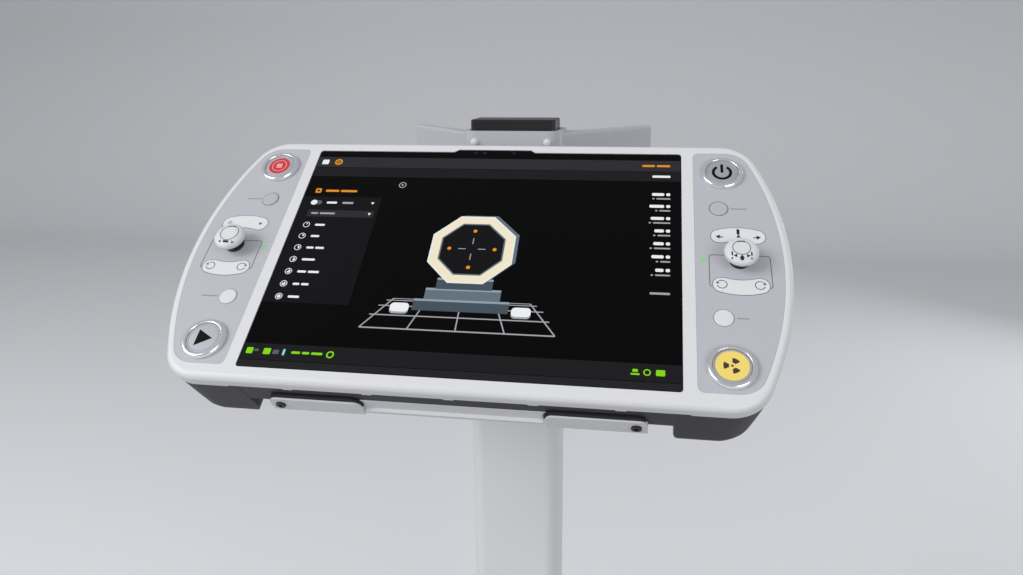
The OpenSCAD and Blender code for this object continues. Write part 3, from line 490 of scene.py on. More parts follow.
# %% Push button rings
FILM_TOP = 0.3
BEZEL_R, BEZEL_TOP = 14.0, FILM_TOP + 2.8
RIM_LAND, SHOULDER_FOOT = 12.2, FILM_TOP + 0.3
BEVEL_ACROSS, BEVEL_DOWN = 0.4, 0.5
CAP_R, STEM_R, RUN_GAP = 10.7, 3.0, 0.08
BORE_R, GUIDE_R = CAP_R + RUN_GAP, STEM_R + RUN_GAP
CAP_FLOOR = -3.6
BARREL_R, BARREL_END = CAP_R + 1.5, -9.0
TURN_ROUND, TURN_STEPS = 0.2, 128
BUTTON_SPOT = {name: panel_spot(name + "_cap") for name in BUTTONS}


def bezel_profile():
    """Bore, flat land, then a rounded shoulder as a quarter ellipse down to the film, and the barrel."""
    t = np.radians(np.arange(0, 91, 10))
    across = RIM_LAND + (BEZEL_R - RIM_LAND) * np.sin(t)
    up = SHOULDER_FOOT + (BEZEL_TOP - SHOULDER_FOOT) * np.cos(t)
    bore = [(BORE_R, CAP_FLOOR), (BORE_R, BEZEL_TOP - BEVEL_DOWN), (BORE_R + BEVEL_ACROSS, BEZEL_TOP)]
    barrel = [(BEZEL_R, FILM_TOP), (BARREL_R, FILM_TOP), (BARREL_R, BARREL_END)]
    guide = [(GUIDE_R, BARREL_END), (GUIDE_R, CAP_FLOOR), (BORE_R, CAP_FLOOR)]
    return np.vstack([bore, np.stack([across, up], axis=-1), barrel, guide])


for button, spot in BUTTON_SPOT.items():
    rim = turned(button + "_chrome_ring", bezel_profile(), spot, TURN_ROUND, TURN_STEPS)
    dress(rim, chrome, ROOT)
    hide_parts(button + "_bezel")
print("rings:", len(BUTTONS), "of", 2 * BEZEL_R, "mm")

# %% Push button caps
CAP_TOP, CAP_SKIRT = BEZEL_TOP - 0.7, -1.4
CAP_BEVEL = 0.4
STEM_END = BARREL_END - 1.2
GROOVE_OUT, GROOVE_IN = 9.6, 9.2
GROOVE_DEEP, GROOVE_SLOPE = 0.3, 0.1
DISC_SEAT = CAP_TOP - 0.02
CAP_PROFILE = [
    (0.0, STEM_END), (STEM_R, STEM_END), (STEM_R, CAP_SKIRT),
    (CAP_R, CAP_SKIRT), (CAP_R, CAP_TOP - CAP_BEVEL), (CAP_R - CAP_BEVEL, CAP_TOP),
    (GROOVE_OUT, CAP_TOP), (GROOVE_OUT - GROOVE_SLOPE, CAP_TOP - GROOVE_DEEP),
    (GROOVE_IN + GROOVE_SLOPE, CAP_TOP - GROOVE_DEEP), (GROOVE_IN, DISC_SEAT), (0.0, DISC_SEAT),
]
for button, spot in BUTTON_SPOT.items():
    cap = turned(button + "_cap_disc", CAP_PROFILE, spot, TURN_ROUND, TURN_STEPS)
    dress(cap, satin_aluminium, button + "_button")
    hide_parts(button + "_cap")
print("cap tops", round(CAP_TOP, 2), "mm above the glass")

# %% [markdown]
# ## Joystick knobs
# The white knob is a low mushroom with a full rounded rim and a slightly crowned top. A squashed
# sphere would be too round at the top and too thin at the rim, so it is turned too. The black neck
# below it belongs to the shaft, whose dome closes the opening in the film.

# %% Joystick knobs
KNOB_R, KNOB_TOP, KNOB_SEAT = 10.25, 12.4, 6.4
RIM_R, RIM_DROP = 2.6, 0.4
# The crown, as (distance in from the widest radius, fall below the top)
CROWN = np.array([(2.4, 0.5), (4.2, 0.1), (6.0, 0.0)])
NECK_R, NECK_LEN = 3.0, 2.0
COLLAR_R, COLLAR_WIDE, COLLAR_DEEP = 4.6, 5.2, 1.2


def knob_profile():
    """Collar and underside, the rim as an arc of radius RIM_R, then the crown in to the axis."""
    bore, top = NECK_R + RUN_GAP, KNOB_TOP - NECK_LEN + RUN_GAP
    foot = KNOB_SEAT - COLLAR_DEEP
    under = [(0.0, top), (bore, top), (bore, foot), (COLLAR_R, foot), (COLLAR_WIDE, KNOB_SEAT)]
    a = np.radians(np.arange(-80, 71, 10))
    middle = (KNOB_SEAT + KNOB_TOP) / 2 - RIM_DROP
    rim = arc(KNOB_R - RIM_R, middle, RIM_R, a)
    return np.vstack([under, rim, (KNOB_R, KNOB_TOP) - CROWN, [(0.0, KNOB_TOP)]])


for side, sign in SIDES.items():
    knob = turned(side + "_knob_skin", knob_profile(), (sign * STICK_X, 0.0), 0.3, 96)
    dress(knob, knob_white, side + "_knob")
    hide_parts(side + "_stick_cap")
print("knobs at", round(STICK_X, 1), "mm")

# %% [markdown]
# ## Flat shapes for printing
# A painted image blurs close up, so every print is made of a few outlines that stay sharp: discs,
# bands of a circle, rounded bars, strokes along a line and bent pads. Each outline is a list of (x, y)
# points in millimetres on the panel, worked out by a formula.


# %% Round and straight outlines
def disc(cx, cy, r, steps=64):
    """A whole circle of radius r."""
    return arc(cx, cy, r, np.linspace(0, 2 * np.pi, steps, endpoint=False))


def band(cx, cy, r_in, r_out, start, end, steps=40):
    """Part of a ring from start to end degrees: out along r_out and back along r_in."""
    u = np.radians(np.linspace(start, end, steps))
    return np.concatenate([arc(cx, cy, r_out, u), arc(cx, cy, r_in, u)[::-1]])


def ring(cx, cy, r_in, r_out):
    """A whole ring as two half bands."""
    return [band(cx, cy, r_in, r_out, a, a + 180) for a in (0, 180)]


def bar(x0, y0, x1, y1, r):
    """Box from (x0, y0) to (x1, y1) with corners of radius r, five points each."""
    r = min(r, abs(x1 - x0) / 2, abs(y1 - y0) / 2)
    a = np.radians(np.linspace(0, 90, 5) + 90 * np.arange(4)[:, None]).ravel()
    x = np.repeat([x1 - r, x0 + r, x0 + r, x1 - r], 5)
    y = np.repeat([y1 - r, y1 - r, y0 + r, y0 + r], 5)
    return arc(x, y, r, a)


def stroke(points, width):
    """Line of even width along the points: each point moves half the width along its mean normal."""
    p = np.asarray(points, float)
    step = np.diff(p, axis=0)
    step /= np.linalg.norm(step, axis=1, keepdims=True)
    ahead = np.vstack([step, step[-1:]])
    mean = ahead + np.vstack([step[:1], step])
    mean /= np.linalg.norm(mean, axis=1, keepdims=True)
    normal = np.stack([-mean[:, 1], mean[:, 0]], axis=-1)
    spread = width / 2 / np.maximum(np.sum(mean * ahead, axis=1, keepdims=True), 0.5)
    return np.concatenate([p + normal * spread, (p - normal * spread)[::-1]])


print("a disc has", len(disc(0, 0, 1)), "points")


# %% Pads, arrows and triangles
def bent_pad(cx, cy, reach, sag, half_width):
    """Band along an arc that spans reach each side of cx and rises by sag in the middle, with round ends.
    The arc's radius is (reach^2 + sag^2) / (2 sag). A negative sag mirrors it in y."""
    radius = (reach**2 + sag**2) / (2 * abs(sag))
    half = math.asin(reach / radius)
    end_y = radius * math.cos(half) - radius
    u = np.linspace(half, -half, 24)
    t = np.linspace(math.pi / 2, -math.pi / 2, 16)[1:-1]
    upper = arc(0, -radius, radius + half_width, math.pi / 2 + u)
    lower = arc(0, -radius, radius - half_width, math.pi / 2 - u)
    right = arc(reach, end_y, half_width, t - half)
    left = arc(-reach, end_y, half_width, math.pi + t - half)
    return np.concatenate([upper, right, lower, left]) * (1, math.copysign(1, sag)) + (cx, cy)


def arrow(cx, cy, angle, length, head, shaft):
    """Arrow centred on (cx, cy): a shaft, and a head that spreads 0.64 of its length to each side."""
    a = math.radians(angle)
    tip, neck, wide, thin = length / 2, length / 2 - head, head * 0.64, shaft / 2
    edge = np.array([(-tip, thin), (neck, thin), (neck, wide), (tip, 0)])
    local = np.vstack([edge, edge[2::-1] * (1, -1)])
    turn_by = np.array([(math.cos(a), math.sin(a)), (-math.sin(a), math.cos(a))])
    return local @ turn_by + (cx, cy)


def triangle(cx, cy, angle, r):
    """Triangle with its tip r from the centre in the given direction."""
    return arc(cx, cy, r, np.radians(angle + np.array([0, 120, 240])))


print("an arrow has", len(arrow(0, 0, 0, 4, 2, 1)), "points")

# %% [markdown]
# ## From outlines to a printed piece
# A print has next to no thickness, but a sheet without any flickers against the face below it. So each
# outline becomes a closed plate that ends a few hundredths of a millimetre above the surface. Where
# prints overlap, a rank lifts the upper one by one more step.

# %% Plates with ink on them
RANK_STEP = 0.02


def plate(outline, low, high, first):
    """Closed plate on an outline whose points start at index first. Side i joins points i and i + 1 of
    the lower loop with the same points of the upper one."""
    n = len(outline)
    loop = np.arange(n)
    after = (loop + 1) % n
    sides = np.stack([loop, after, after + n, loop + n], axis=-1) + first
    caps = [(loop + n + first).tolist(), (loop[::-1] + first).tolist()]
    points = np.vstack([np.column_stack([outline, low]), np.column_stack([outline, high])])
    return points, caps + sides.tolist()


def printed(name, marks, low, high, material, body, height=None):
    """One piece from marks of (outlines, ink) or (outlines, ink, rank), each outline a plate from low to
    high above the glass. height(x, y) lifts it onto a curved surface."""
    points, faces, inks = [], [], []
    count = 0
    for outlines, ink_hex, *rank in marks:
        top = high + RANK_STEP * (rank[0] if rank else 0)
        for outline in outlines if isinstance(outlines, list) else [outlines]:
            x, y = outline.T
            area = np.sum(x * np.roll(y, -1) - np.roll(x, -1) * y)
            loop = outline if area > 0 else outline[::-1]
            lift = height(loop[:, 0], loop[:, 1]) if height else np.zeros(len(loop))
            more_points, more_faces = plate(loop, lift + low, lift + top, count)
            points.append(more_points)
            faces.extend(more_faces)
            inks.extend([linear(ink_hex)] * len(more_faces))
            count += len(more_points)
    piece = new_piece(name, on_panel(np.vstack(points)), faces)
    ink = piece.data.attributes.new("ink", "FLOAT_COLOR", "FACE")
    ink.data.foreach_set("color", np.array(inks, np.float32).ravel())
    return dress(piece, material, body)


print("prints rise by", RANK_STEP, "mm for each rank")

# %% [markdown]
# ## Legends on the films
# Above and below each joystick lies a pale bent pad with a fine dark outline, and a thin line runs
# from the lower pad's ends round the stick. A pad is a band along an arc and not a bent box, because
# its outline has to stay sharp and even.

# %% Pads and their line
PAD, INK, BOLD, LINE, FAINT = "#DDDEE1", "#46454B", "#252528", "#67666C", "#96969D"
LEGEND_HIGH = FILM_TOP + 0.05
PAD_REACH, PAD_HALF, PAD_SAG, PAD_EDGE = 11.1, 5.75, 1.7, 0.4
UPPER_PAD_Y, LOWER_PAD_Y = 20.9, -20.0
FRAME_HALF, FRAME_TOP, FRAME_ROUND = 18.1, 4.2, 1.8
LINE_W = 0.46


def frame_line(cx):
    """The line from one end of the lower pad up round the stick and down to the other end."""
    left, right, r = cx - FRAME_HALF, cx + FRAME_HALF, FRAME_ROUND
    quarter = np.radians(np.linspace(0, 90, 6))
    top_right = arc(right - r, FRAME_TOP - r, r, quarter)
    top_left = arc(left + r, FRAME_TOP - r, r, quarter + math.pi / 2)
    foot = LOWER_PAD_Y + 1.4
    start = [(right - 1.0, LOWER_PAD_Y), (right + 0.1, foot)]
    end = [(left - 0.1, foot), (left + 1.0, LOWER_PAD_Y)]
    return stroke(np.vstack([start, top_right, top_left, end]), LINE_W)


def pad_marks(cx):
    """The two bent pads: a dark outline and, one rank above, the pale face inside it."""
    out = []
    for cy, sag in ((UPPER_PAD_Y, PAD_SAG), (LOWER_PAD_Y, -PAD_SAG)):
        out.append((bent_pad(cx, cy, PAD_REACH, sag, PAD_HALF), LINE, 1))
        out.append((bent_pad(cx, cy, PAD_REACH, sag, PAD_HALF - PAD_EDGE), PAD, 2))
    return out


print("pads reach", PAD_REACH + PAD_HALF, "mm to each side")

# %% [markdown]
# ## Arrows and key marks
# The pads carry plain arrows: sideways and forward above the right stick, and a turn to each side
# below both. A fine circle runs round each key, and a faint bar stands in for its name. Words would
# have to be guessed, and arrows need no language.

# %% Arrows and key marks
ICON_RANK = 3
TURN_X, TURN_Y = 11.0, -18.0
TURN_IN, TURN_OUT = 2.6, 3.1
KEY_X, UPPER_KEY_Y = panel_spot("upper_right_key")
LOWER_KEY_Y = panel_spot("lower_right_key")[1]
KEY_R, KEY_NAME_GAP = 5.6, 1.6


def turn_mark(cx, cy, flip):
    """An open circle with an arrow head at one end. flip is 1 or -1 for the sense of turning."""
    lead = 90 + flip * 62
    tip, mid = math.radians(lead + flip * 4), (TURN_IN + TURN_OUT) / 2
    head = triangle(cx + mid * math.cos(tip), cy + mid * math.sin(tip), lead - flip * 70, 1.2)
    return [(band(cx, cy, TURN_IN, TURN_OUT, lead + flip * 42, lead + flip * 342), INK), (head, INK)]


def upper_pad_icons(cx, sign):
    """Sideways arrows with a forward mark on the right, and two small marks on the left."""
    if sign < 0:
        return [(ring(cx - 11.4, 19.6, 0.75, 1.45), FAINT), (triangle(cx + 11.2, 19.4, 30, 1.5), INK)]
    out = [(bar(cx - 0.7, 20.9, cx + 1.1, 25.2, 0.2), BOLD), (triangle(cx + 0.3, 19.3, 90, 1.6), BOLD)]
    for way, angle in ((-11.4, 172), (11.6, 8)):
        out.append((arrow(cx + way, 18.8, angle, 4.6, 2.6, 0.8), BOLD))
    return out


def key_marks(sign):
    """A fine circle round each key, and a faint bar where its name would be."""
    out = []
    near, lower = KEY_X + KEY_R + KEY_NAME_GAP, 7.0 if sign > 0 else 11.0
    for y, tone, reach in ((UPPER_KEY_Y, LINE, 10.5), (LOWER_KEY_Y, FAINT, lower)):
        out.append((ring(sign * KEY_X, y, KEY_R + 0.15, KEY_R + 0.5), tone))
        x0, x1 = sorted((sign * near, sign * (near + reach)))
        out.append((bar(x0, y - 0.45, x1, y + 0.45, 0.3), FAINT))
    return out


def legend_marks(sign):
    """All the prints of one film. sign is -1 on the left and 1 on the right."""
    cx = sign * STICK_X
    icons = upper_pad_icons(cx, sign)
    icons += turn_mark(cx - TURN_X, TURN_Y, 1) + turn_mark(cx + TURN_X, TURN_Y, -1)
    out = [(frame_line(cx), LINE)] + pad_marks(cx) + [(*icon, ICON_RANK) for icon in icons]
    return out + key_marks(sign)


for side, sign in SIDES.items():
    printed(side + "_legend", legend_marks(sign), FILM_TOP, LEGEND_HIGH, film_ink, ROOT)
print("keys at", round(KEY_X, 1), "mm")

# %% [markdown]
# ## Prints on the knobs
# The knob's crown is not flat. A flat plate would sink into it or hang in the air, so its marks are
# lifted onto it by the same curve that shapes it.

# %% Prints on the knobs
PRINT_SINK, PRINT_RISE = 0.05, 0.14
# A point of the rim's arc, in the terms of the crown
RIM_POINT = (1.0, 1.35)


def knob_height(cx):
    """The crown's fall below its top, by distance from the knob's centre."""
    inset, fall = np.vstack([CROWN[::-1], RIM_POINT]).T
    return lambda x, y: np.interp(np.hypot(x - cx, y), KNOB_R - inset, -fall)


def knob_marks(cx, sign):
    """A circle with a heavier top, wider on the left, and direction marks below it."""
    r = 6.2 if sign < 0 else 5.35
    cx += 0.8 if sign < 0 else -0.4
    out = [(ring(cx, 0.8, r - 0.33, r), INK), (band(cx, 0.8, r - 0.8, r, 62, 118, 16), BOLD)]
    if sign < 0:
        out.append((bar(cx - 1.9, -7.3, cx + 1.9, -5.8, 0.2), BOLD))
        for way in (-1, 1):
            out.append((triangle(cx + way * 4.3, -6.4, 90 - way * 90, 1.2), INK))
        return out
    out.append((arrow(cx, -6.4, 90, 3.6, 2.4, 1.8), BOLD))
    for way in (-1, 1):
        out.append((triangle(cx + way * 3.5, -5.2, 90 - way * 90, 1.35), BOLD))
        out.append((bar(cx + way * 5.6 - 0.4, -5.0, cx + way * 5.6 + 0.4, -2.4, 0.2), BOLD))
        out.append((disc(cx + way * 5.6, -6.6, 0.5, 16), BOLD))
    return out


for side, sign in SIDES.items():
    cx = sign * STICK_X
    marks, crown = knob_marks(cx, sign), knob_height(cx)
    low, high = KNOB_TOP - PRINT_SINK, KNOB_TOP + PRINT_RISE
    printed(side + "_knob_marks", marks, low, high, film_ink, side + "_knob", crown)
print("knob prints:", len(SIDES))

# %% [markdown]
# ## Push button faces
# The four functions are told apart by plain pictograms: a red stop disc, the power sign, a start
# triangle and a three-bladed sign on yellow for exposure. On real caps they are engraved and filled.
# Here they are thin plates that lie on the caps and move with them.

# %% Push button faces
FACE_LOW, FACE_HIGH = CAP_TOP - 0.12, CAP_TOP + 0.01
SIGN_HIGH = FACE_HIGH + 0.04
BLACK_INK, BROWN_INK, RED_INK = "#070708", "#4A3A34", "#CC3D48"
PALE_RED, YELLOW_INK = "#E3A3A2", "#F0D775"
DISCS = {"stop": (7.8, RED_INK), "exposure": (9.3, YELLOW_INK)}


def stop_sign(cx, cy):
    """A pale square in a thin ring."""
    square = bar(cx - 2.1, cy - 2.1, cx + 2.1, cy + 2.1, 0.4)
    return [(ring(cx, cy, 4.9, 5.5), PALE_RED), (square, PALE_RED)]


def power_sign(cx, cy):
    """Open ring with an upright bar in its gap."""
    upright = bar(cx - 0.9, cy - 0.6, cx + 0.9, cy + 7.0, 0.4)
    return [(band(cx, cy - 0.4, 4.7, 6.6, 124, 416, 60), BLACK_INK), (upright, BLACK_INK)]


def start_sign(cx, cy):
    """Solid triangle that points right."""
    return [(np.array([(cx - 4.4, cy + 5.8), (cx - 4.4, cy - 5.8), (cx + 5.8, cy)]), BLACK_INK)]


def exposure_sign(cx, cy):
    """Three blades of 56 degrees round a small hub."""
    blades = [band(cx, cy, 1.9, 4.9, a - 28, a + 28, 14) for a in (60, 180, 300)]
    return [(blades, BROWN_INK), (disc(cx, cy, 0.7, 24), BROWN_INK)]


for button, sign_of in zip(BUTTONS, (stop_sign, power_sign, start_sign, exposure_sign)):
    cx, cy = BUTTON_SPOT[button]
    body = button + "_button"
    if button in DISCS:
        radius, ink_hex = DISCS[button]
        face = [(disc(cx, cy, radius), ink_hex)]
        printed(button + "_disc", face, FACE_LOW, FACE_HIGH, film_ink, body)
    printed(button + "_sign", sign_of(cx, cy), FACE_LOW, SIGN_HIGH, film_ink, body)
print("coloured discs on", sorted(DISCS))

# %% [markdown]
# ## The display's picture
# A display shows whatever its maker wants, so this one has a plain working screen of its own: grey
# bars for headings and values, a list with round markers, and an eight-sided frame on stepped blocks.
# It is drawn in three layers just above the glass, each of which hides what lies behind it.

# %% Fields and words
PANEL_GREY, BAR_GREY, EDGE_GREY, FOOT_GREY = "#151517", "#2E2E31", "#1E1E20", "#252528"
WHITE, SOFT, DIM = "#EDEEF0", "#A4A6AB", "#5C5E64"
GREEN, CYAN, ORANGE, CREAM = "#84D815", "#8FD8E6", "#E8912A", "#EFE6CC"
PALE_STEEL, STEEL, DEEP_STEEL = "#93A0AA", "#64727D", "#46525C"
HALF_W, HALF_H = 130.6, 91.2
LIST_LEFT = -HALF_W
# Large fields behind everything else, as (x0, y0, x1, y1, tone)
FIELDS = (
    (-HALF_W, 75.2, HALF_W, 85.5, BAR_GREY),
    (-HALF_W, 66.0, HALF_W, 74.8, EDGE_GREY),
    (LIST_LEFT, -44.5, -73.0, 46.0, PANEL_GREY),
    (-HALF_W, -86.2, HALF_W, -75.0, EDGE_GREY),
    (-HALF_W, -HALF_H, HALF_W, -86.6, FOOT_GREY),
)
WORD_GAP = 1.3


def words(x, y, lengths, height, tone):
    """A line of words from x onwards, each one a bar of its own length."""
    starts = x + np.cumsum([0.0, *lengths[:-1]]) + WORD_GAP * np.arange(len(lengths))
    low, high = y - height / 2, y + height / 2
    return [(bar(at, low, at + long, high, 0.35 * height), tone, 1) for at, long in zip(starts, lengths)]


print("picture of", 2 * HALF_W, "by", 2 * HALF_H, "mm")

# %% Values on the right and the list on the left
VALUE_RIGHT, VALUE_TOP, VALUE_STEP = 124.0, 54.0, 10.5
NUMBERS = (8.0, 9.5, 8.5, 6.0, 6.5, 7.5, 5.0)
LABELS = (9.0, 7.0, 11.0, 8.0, 10.0, 6.0, 9.0)
ROWS = ((7.0,), (6.0,), (5.0, 6.0), (9.0,), (6.0, 7.5), (4.5, 5.0), (7.5,))
ROW_TOP, ROW_STEP = 20.0, 10.0


def value_column():
    """Seven bright values, each of a number and a short unit, with a dim label line below."""
    out = []
    for k, (number, label) in enumerate(zip(NUMBERS, LABELS)):
        y = VALUE_TOP - VALUE_STEP * k
        out += words(VALUE_RIGHT - number - 4.0, y, (number, 2.6), 2.4, WHITE)
        out += words(VALUE_RIGHT - label - 2.7, y - 3.8, (1.4, label), 1.1, SOFT)
    return out + words(VALUE_RIGHT - 12, -26.5, (12.0,), 1.5, SOFT)


def list_panel():
    """Heading, switch, field and seven rows whose round markers fill up one part at a time."""
    x = LIST_LEFT + 7
    out = [(bar(x, 49.6, x + 4.2, 53.8, 0.5), ORANGE)]
    out.append((bar(x + 1.2, 50.8, x + 3.0, 52.6, 0.2), PANEL_GREY, 1))
    out += words(x + 7.5, 51.7, (10.0, 12.0), 1.9, ORANGE)
    out.append((bar(x, 38.6, x + 8, 42.4, 1.9), DIM))
    out.append((disc(x + 2.1, 40.5, 2.3, 32), WHITE, 1))
    out += words(x + 11.5, 40.5, (7.5,), 1.8, WHITE) + words(x + 23, 40.5, (8.0,), 1.8, SOFT)
    out.append((bar(x, 27.4, x + 48, 33.6, 0.8), BAR_GREY))
    out += words(x + 3, 30.5, (5.0, 11.0), 1.5, SOFT)
    out += [(triangle(x + 45, y, 270, 1.4), WHITE, 1) for y in (40.8, 30.9)]
    for k, lengths in enumerate(ROWS):
        y = ROW_TOP - ROW_STEP * k
        out.append((ring(x + 2.8, y, 1.95, 2.4), WHITE))
        out.append((band(x + 2.8, y, 0.0, 1.3, 90, 90 - 50 * (k + 1), 20), WHITE, 1))
        out += words(x + 9, y, lengths, 1.7, WHITE)
    return out


print("marks:", len(value_column()) + len(list_panel()))

# %% The picture in the middle
MIDDLE_X, MIDDLE_Y = -2.0, 3.0
FRAME_R, FRAME_W = 29.0, 6.0
# Stepped blocks, as (half width, foot, tone), each with a pale upper edge
BLOCKS = ((30.0, -46.0, DEEP_STEEL), (24.0, -37.5, STEEL), (18.0, -29.5, DEEP_STEEL))
BLOCK_H, BLOCK_EDGE = 7.0, 1.6
# Nested octagons, as (growth over FRAME_R, tone)
NEST = ((0.9, WHITE), (0.0, CREAM), (-FRAME_W, STEEL), (-FRAME_W - 1.1, PANEL_GREY))


def octagon(cx, cy, r):
    """Eight corners on a circle of radius r, turned so that two sides are level."""
    return arc(cx, cy, r, np.radians(22.5 + 45 * np.arange(8)))


def floor_grid():
    """Floor grid in perspective: level lines draw apart, the others spread from a far point."""
    out = []
    for t in np.linspace(0, 1, 5):
        half, y = 43 + 17 * t, -38 - 22 * t * t
        line = stroke([(MIDDLE_X - half, y), (MIDDLE_X + half, y)], 0.45 + 0.45 * t)
        out.append((line, SOFT))
    for k in range(-2, 3):
        out.append((stroke([(MIDDLE_X + 21.5 * k, -38), (MIDDLE_X + 30 * k, -60)], 0.8), SOFT))
    return out


def centre_picture():
    """An eight-sided frame with cross ticks, on three stepped blocks with a small pad on each side."""
    x, y = MIDDLE_X, MIDDLE_Y
    out = floor_grid()
    for rank, (half, low, tone) in enumerate(BLOCKS, 1):
        edge = low + BLOCK_H
        out.append((bar(x - half, low, x + half, edge, 0.5), tone, rank))
        out.append((bar(x - half, edge, x + half, edge + BLOCK_EDGE, 0.3), PALE_STEEL, rank))
    for pad in (x - 38, x + 38):
        out.append((bar(pad - 6, -49, pad + 6, -41, 2.5), SOFT, 1))
        out.append((bar(pad - 6, -47.6, pad + 6, -41, 2.5), WHITE, 2))
    out.append((octagon(x + 2.6, y + 1.2, FRAME_R + 0.4), STEEL, 3))
    for rank, (grow, tone) in enumerate(NEST, 4):
        out.append((octagon(x, y, FRAME_R + grow), tone, rank))
    for a in np.radians(range(0, 360, 90)):
        c, s = math.cos(a), math.sin(a)
        out.append((stroke([(x + 4 * c, y + 4 * s), (x + 9 * c, y + 9 * s)], 0.6), SOFT, 8))
        out.append((disc(x + 15 * c, y + 15 * s, 1.3, 24), ORANGE, 8))
    return out


print("outlines in the middle:", len(centre_picture()))

# %% Status marks, and the three layers
# Rings with a dot, as (x, y, inner radius, outer radius, tone)
DOTTED = ((-114.5, 80.4, 1.7, 2.9, ORANGE), (-61.0, 58.5, 2.1, 2.7, SOFT))
# Small blocks, as (x0, y0, x1, y1, corner radius, tone)
STATUS = (
    (-127.0, 78.0, -122.0, 82.6, 0.6, WHITE),
    (116.5, -82.4, 121.5, -78.6, 0.6, GREEN),
    (102.5, -82.4, 107.5, -81.3, 0.4, GREEN),
    (103.5, -80.5, 106.5, -78.7, 0.4, GREEN),
    (-104.6, -82.6, -103.2, -78.2, 0.6, CYAN),
    (-111.0, -82.0, -107.0, -79.0, 0.5, DIM),
    (-117.0, -82.4, -112.4, -78.2, 0.7, GREEN),
    (-123.0, -80.6, -120.2, -79.0, 0.4, DIM),
    (-128.0, -82.4, -123.8, -78.2, 0.7, GREEN),
)
LAYER = 0.02


def header_and_footer():
    """Heading bars and small status marks along the top and bottom edges."""
    out = words(105.0, 80.4, (8.5, 9.0), 1.8, ORANGE) + words(112.0, 70.4, (12.0,), 2.0, WHITE)
    for x, y, inner, outer, tone in DOTTED:
        out += [(ring(x, y, inner, outer), tone), (disc(x, y, 0.8, 24), tone)]
    out += [(ring(111.6, -80.5, 1.4, 2.1), GREEN), (ring(-74.5, -80.4, 1.5, 2.4), GREEN)]
    out += [(bar(*block), tone) for *block, tone in STATUS]
    return out + words(-99.0, -80.3, (5.5, 4.5, 7.0), 1.6, GREEN)


layers = {
    "screen_fields": [(bar(*field, 0.1), tone) for *field, tone in FIELDS],
    "screen_picture": centre_picture(),
    "screen_marks": value_column() + list_panel() + header_and_footer(),
}
for k, (name, marks) in enumerate(layers.items(), 1):
    printed(name, marks, 0.0, LAYER * k, screen_ink, ROOT)
    print(name, "has", len(marks), "marks")

# %% [markdown]
# ## Sensors above the screen
# Three tiny windows sit in the bump at the top of the glass: two light sensors and a lamp. They are
# clear spots in the black print behind the glass, so they are drawn as the screen's marks are.

# %% Sensors above the screen
SENSOR_TINT, SENSOR_Y = "#1E2238", 91.4
SENSORS = ((-13.7, 1.3), (-7.2, 1.3), (14.3, 1.2))
sensor_marks = [(disc(x, SENSOR_Y, r, 24), SENSOR_TINT) for x, r in SENSORS]
printed("glass_sensor_windows", sensor_marks, 0.0, LAYER, screen_ink, ROOT)
print("sensor windows:", len(sensor_marks))

# %% [markdown]
# ## Painted shade above the dock's lips
# Where the console slides in, the gap between each lip and the rear shell lies in deep shade. That shade
# is painted as a thin black band on the inner half of each lip. A bevelled curve would give a cord of even
# thickness, but the shade follows the lip's top and its rounded corner and thins out at both ends. So it
# is an outline whose height changes along it.

# %% Painted shade band on the lips
LIP_CORNER, LIP_TOP, LIP_INNER, LIP_FACE = 5.0, -17.0, 55.0, -101.1
TRAY_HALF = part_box("dock_tray")[1][0] / MM
SHADE_BAND_HIGH, SHADE_BAND_THICK = 3.4, 1.1
# Share of the full height at each angle round the lip's two corners, in degrees
SHADE_BAND_AT, SHADE_BAND_PART = np.radians([50, 75, 90, 130, 178]), [0.2, 0.8, 1.0, 0.7, 0.25]


def lip_shade_band(sign):
    """Outline in x and z of the painted shade band: the lip's edge, and the same edge moved out along its
    normal by the height.
    """
    outer, inner = np.radians(np.linspace(50, 90, 9)), np.radians(np.linspace(90, 178, 14))
    angle = np.concatenate([outer, inner])
    x = np.repeat([TRAY_HALF - LIP_CORNER, LIP_INNER + LIP_CORNER], [len(outer), len(inner)])
    rise = np.interp(angle, SHADE_BAND_AT, SHADE_BAND_PART) * SHADE_BAND_HIGH
    edge = arc(x, LIP_TOP - LIP_CORNER, LIP_CORNER, angle)
    crest = arc(x, LIP_TOP - LIP_CORNER, LIP_CORNER + rise, angle)
    return np.concatenate([edge, crest[::-1]]) * (sign, 1)


for side, sign in SIDES.items():
    outline = lip_shade_band(sign)
    level = np.full(len(outline), LIP_FACE)
    points, faces = plate(outline, level - SHADE_BAND_THICK, level, 0)
    shade_strip = new_piece(side + "_lip_shade_band", on_panel(points[:, [0, 2, 1]]), faces)
    tidy_skin(shade_strip)
    # Painted shade: a black band in the finish of the black rubber
    dress(shade_strip, seal_rubber_and_lip_shade, ROOT)
print("tray", round(2 * TRAY_HALF, 1), "mm wide")

# %% [markdown]
# ## Floor and backdrop
# A flat floor and a wall would leave a line behind the stand, so the floor runs back into a curved
# backdrop, as in a photo studio. It looks pale, but gives back less light than it shows, as a floor
# under dark furniture does, and keeps the console's underside dark.

# %% Floor and backdrop
SWEEP_HALF, SWEEP_FRONT, SWEEP_BACK, SWEEP_R, SWEEP_TOP = 14.0, -8.0, 4.0, 1.6, 7.0
FLOOR_SEEN, FLOOR_BOUNCE = "#EEEFF3", "#9C9DA1"


def sweep_surface():
    """A strip bent from floor to wall: flat, a quarter circle of radius R, then upright."""
    a = np.radians(np.linspace(0, 90, 16))
    y = np.concatenate([[SWEEP_FRONT], SWEEP_BACK + SWEEP_R * np.sin(a), [SWEEP_BACK + SWEEP_R]])
    z = np.concatenate([[0.0], SWEEP_R - SWEEP_R * np.cos(a), [SWEEP_TOP]])
    x = np.tile([-SWEEP_HALF, SWEEP_HALF], len(y))
    points = np.stack([x, np.repeat(y, 2), np.repeat(z, 2)], axis=-1)
    faces = 2 * np.arange(len(y) - 1)[:, None] + [0, 1, 3, 2]
    strip = new_piece("studio_sweep", points, faces.tolist())
    strip.data.polygons.foreach_set("use_smooth", np.ones(len(faces), bool))
    return strip


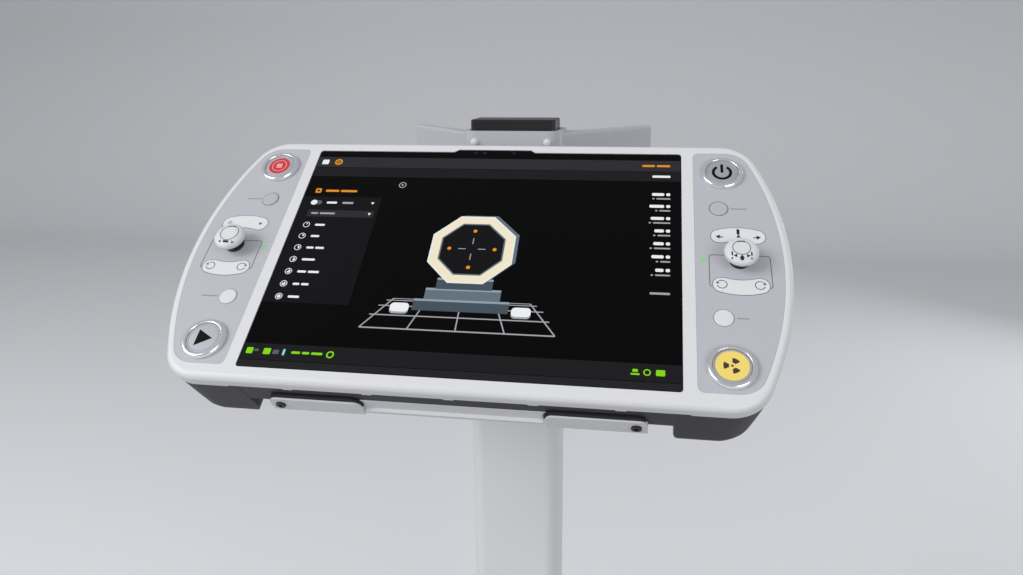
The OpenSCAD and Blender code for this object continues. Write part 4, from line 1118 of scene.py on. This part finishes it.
# Camera, glossy and transmission rays meet the pale tone, all other light the darker one
floor = sweep_surface()
floor_paint, floor_tree, floor_shader = new_material("pale_grey_studio_paint", {"Roughness": 0.8})
path = add(floor_tree, "ShaderNodeLightPath").outputs
seen = path["Is Camera Ray"]
for kind in ("Is Glossy Ray", "Is Transmission Ray"):
    seen = add(floor_tree, "ShaderNodeMath", {0: seen, 1: path[kind]}, operation="MAXIMUM").outputs[0]
tones = {MIX_FACTOR: seen, MIX_FROM: linear(FLOOR_BOUNCE), MIX_TO: linear(FLOOR_SEEN)}
floor_tone = add(floor_tree, "ShaderNodeMix", tones, data_type="RGBA").outputs[MIX_RESULT]
floor_tree.links.new(floor_tone, floor_shader.inputs["Base Color"])
floor.data.materials.append(floor_paint)
print("backdrop:", 2 * SWEEP_HALF, "m wide")

# %% [markdown]
# ## Light
# A wide soft lamp stands high on the left, a weaker one on the right, and a small one behind. Point
# lamps would leave hard spots, but large square ones give the chromed rings their broad streaks. The
# world fills the shadows evenly.

# %% Lamps and world
LOOK_AT = (0.0, 0.0, 1.0)
# Square lamps that face LOOK_AT, as (name, place in metres, side in metres, watts)
LAMPS = (
    ("key_softbox", (-2.6, -1.7, 2.8), 2.0, 78),
    ("fill_softbox", (1.9, -2.6, 1.9), 1.8, 31),
    ("back_softbox", (2.3, 2.4, 1.5), 1.6, 15),
)
AIR_TONE, AIR_STRENGTH = "#F0F1F3", 0.54
for name, place, size, watts in LAMPS:
    data = bpy.data.lights.new(name, "AREA")
    data.size = size
    data.energy = watts
    lamp = bpy.data.objects.new(name, data)
    away = Vector(place) - Vector(LOOK_AT)
    lamp.matrix_world = Matrix.Translation(place) @ away.to_track_quat("Z", "Y").to_matrix().to_4x4()
    bpy.context.scene.collection.objects.link(lamp)
world = bpy.data.worlds.new("studio_air")
world.use_nodes = True
air = world.node_tree.nodes["Background"].inputs
air["Color"].default_value = linear(AIR_TONE)
air["Strength"].default_value = AIR_STRENGTH
bpy.context.scene.world = world
bpy.context.scene.view_settings.view_transform = "Standard"
print("lamps:", len(LAMPS))
